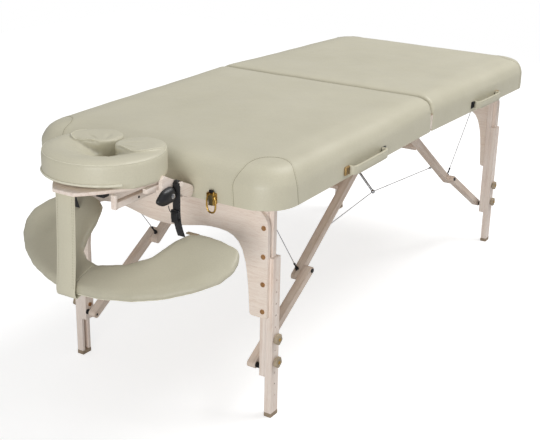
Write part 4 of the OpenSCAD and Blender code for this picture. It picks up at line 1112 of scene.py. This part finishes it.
def spun(name, profile, steps, at):  # a profile of (radius, height) turned round an axis to the near side
    clearSelection()
    bpy.ops.mesh.primitive_circle_add(vertices=len(profile), radius=1)
    obj = ownPlace(name)
    for v, (r, h) in zip(obj.data.vertices, profile):
        v.co = (r, -h, 0)
    editAll(obj)
    bpy.ops.mesh.spin(steps=steps, angle=2 * pi, center=(0, 0, 0), axis=(0, 1, 0))
    bpy.ops.mesh.select_all(action="SELECT")
    bpy.ops.mesh.remove_doubles(threshold=mergeWithin)
    endOutward()
    obj.data.transform(Matrix.Translation(at))
    pick(obj)
    bpy.ops.object.shade_smooth_by_angle(angle=radians(35))
    return obj


camAt = onHead(cam["at"][0], -cam["face"], cam["at"][1])
camGrip = spun("camKnob", cam["profile"], cam["facets"], camAt)
for v in camGrip.data.vertices:  # drawn out to a lever on its free side
    d = v.co - camAt
    wave = 1 - cos(cam["lobes"] * atan2(d.z, d.x))
    k = 1 - cam["lobeDepth"] * wave / max(hypot(d.x, d.z), 0.012)
    long = cam["stretch"] if d.x < 0 else 1
    v.co = camAt + Vector((d.x * k * long, d.y * cam["deep"], d.z * k + cam["droop"] * min(d.x, 0)))
dress(camGrip, blackPlastic, "cam_knob", "black_plastic", "cam_knob")
nutAt, washerAt = [camAt - Vector((0, cam[out], 0)) for out in ("nutOut", "washerOut")]
nut = roundEdges(cylinder("camNut", 4, *cam["nut"], nutAt, (quarter, 0, 0)), 0.0008)
washer = cylinder("washer", 24, *cam["washer"], washerAt, (quarter, 0, 0))
dress(join([nut, washer], "camNut"), steel, "cam_knob", "steel")
print("cam knob turned")

# height knobs: a lobed grip with a brass insert, made once and copied to all eight
knob = dict(
    high=0.2375, low=0.1685, x=0.81738, base=0.3502, lobes=5, depth=0.0021, core=0.0095, profile=[(0, 0),
    (0.0075, 0), (0.0078, 0.0024), (0.0150, 0.0030), (0.0162, 0.0042), (0.0163, 0.0108), (0.0152, 0.0128),
    (0.0105, 0.0136), (0.006, 0.0134), (0, 0.0134)], insert=[(0, 0.0125), (0.0048, 0.0125),
    (0.0048, 0.0143), (0.0040, 0.0150), (0.0022, 0.0150), (0.0020, 0.0142), (0, 0.0142)])


def makeKnob():
    at = Vector((-knob["x"], -knob["base"], knob["high"]))
    grip = spun("heightKnob", knob["profile"], 60, at)
    for v in grip.data.vertices:
        d = v.co - at
        r = hypot(d.x, d.z)
        if r > knob["core"]:
            wave = 1 - cos(knob["lobes"] * atan2(d.z, d.x) + quarter)
            k = 1 - knob["depth"] * wave / 2 / r
            v.co.x, v.co.z = at.x + d.x * k, at.z + d.z * k
    return grip, spun("knobInsert", knob["insert"], 28, at)


knobGrip, knobInsert = makeKnob()
for end, ex in (("head", 0), ("foot", 1)):
    for s, sy in (("near", 0), ("far", 1)):
        for h, drop in (("upper", 0), ("lower", knob["low"] - knob["high"])):
            tag = "_%s_%s_%s" % (end, s, h)
            body = "knob" + tag
            for source, finish, slotName, replaced in ((knobGrip, tanPlastic, "tan_plastic", [body]),
                                                       (knobInsert, brass, "brass", [])):
                twin = mirrorCopy(source, source.name + tag, (ex, sy, 0))
                twin.data.transform(Matrix.Translation((0, 0, drop)))
                dress(twin, finish, body, slotName, *replaced)
for source in (knobGrip, knobInsert):
    bpy.data.objects.remove(source)
print("knobs copied")

# suitcase latch: a bail ring round its dark lever
latch = dict(
    out=0.9352, y=-0.221, high=0.0225, low=-0.0265, half=0.0135, wire=0.0025, cheek=[(-0.002, 0.0022),
    (-0.0104, -0.0052), (-0.006, 0.0300)], lever=[(-0.0018, 0.0012), (-0.0045, 0.0085), (-0.0075, 0.0215)],
    hook=[(-0.002, 0.003), (-0.007, 0.005), (0.0275, 0.0345)])


def makeBail():
    ring = torus("latchBail", (1, 0.1), (64, 12), turn=(0, quarter, 0))
    middle, reach = (latch["high"] + latch["low"]) / 2, (latch["high"] - latch["low"]) / 2
    for v in ring.data.vertices:  # the round ring is squared, and its wire goes to its real thickness
        a = atan2(v.co.y, v.co.z)
        turnY, turnW = sin(a), cos(a)
        squareY = copysign(abs(turnY) ** 0.7, turnY) * latch["half"]
        squareW = copysign(abs(turnW) ** 0.8, turnW) * reach
        out = v.co.x / 0.1 * latch["wire"]
        side = (hypot(v.co.y, v.co.z) - 1) / 0.1 * latch["wire"]
        y, w = squareY + side * turnY, middle + squareW + side * turnW
        v.co = onHead(latch["out"] + out, latch["y"] + y, w)
    editAll(ring)
    endOutward()
    bpy.ops.object.shade_smooth()
    return ring


def latchPart(name, part):
    outs, sides, w = latch[part]
    bar = plank(name, [latch["out"] + u for u in outs], [latch["y"] + y for y in sides], w)
    return roundEdges(bar, 0.0009)


dress(makeBail(), brass, "latch_lever", "brass", "latch_lever")
dress(latchPart("latchLever", "lever"), darkBrass, "latch_lever", "brass")
dress(latchPart("latchCheek", "cheek"), brass, "head_half", "brass")
dress(latchPart("latchHook", "hook"), blackSteel, "head_half", "black_steel")
print("latch fitted")

# pale floor and soft studio light
studio = dict(
    sky=0.4, key=(2.2, -2.4, 6.7), keySize=4.4, keyPower=345, fill=(-5.6, -2.0, 0.9), fillSize=2.4,
    fillPower=130, floorSize=9, floor=0.6, floorGlow=0.66, aim=(-0.2, 0, 0.5))


def showToCamera(plain, seen, output):  # the camera sees one shader, and all other rays meet the plain one
    tree = plain.id_data
    ray = addNode(tree, "ShaderNodeLightPath")
    view = addNode(tree, "ShaderNodeMixShader")
    for source, socket in ((ray.outputs["Is Camera Ray"], "Fac"), (plain, 1), (seen, 2)):
        link(source, view.inputs[socket])
    link(view.outputs["Shader"], output.inputs["Surface"])


clearSelection()
bpy.ops.mesh.primitive_plane_add(size=studio["floorSize"], location=(0, 0, 0))
floor = ownPlace("studioFloor")
paint, tree, shader, _ = startFinish("studioFloor")
shader.inputs["Base Color"].default_value = grey(studio["floor"])
shader.inputs["Roughness"].default_value = 0.9
shader.inputs["Specular IOR Level"].default_value = 0.05
glow = addNode(tree, "ShaderNodeEmission", Strength=studio["floorGlow"])
both = addNode(tree, "ShaderNodeAddShader")
link(shader.outputs["BSDF"], both.inputs[0])
link(glow.outputs["Emission"], both.inputs[1])
showToCamera(shader.outputs["BSDF"], both.outputs["Shader"], tree.nodes["Material Output"])
floor.data.materials.append(paint)

world = bpy.data.worlds.new("studioSky")
scene.world = world
world.use_nodes = True
tree = world.node_tree
sky = tree.nodes["Background"]
sky.inputs["Color"].default_value = grey(studio["sky"])
bright = addNode(tree, "ShaderNodeBackground", Strength=1.0, Color=grey(1))
showToCamera(sky.outputs["Background"], bright.outputs["Background"], tree.nodes["World Output"])
for name in ("key", "fill"):
    lamp = bpy.data.lights.new(name + "Lamp", "AREA")
    lamp.shape, lamp.size, lamp.energy = "DISK", studio[name + "Size"], studio[name + "Power"]
    obj = addObject(name + "Lamp", lamp)
    obj.location = studio[name]
    obj.rotation_euler = (Vector(studio["aim"]) - Vector(studio[name])).to_track_quat("-Z", "Y").to_euler()
print("studio lit")

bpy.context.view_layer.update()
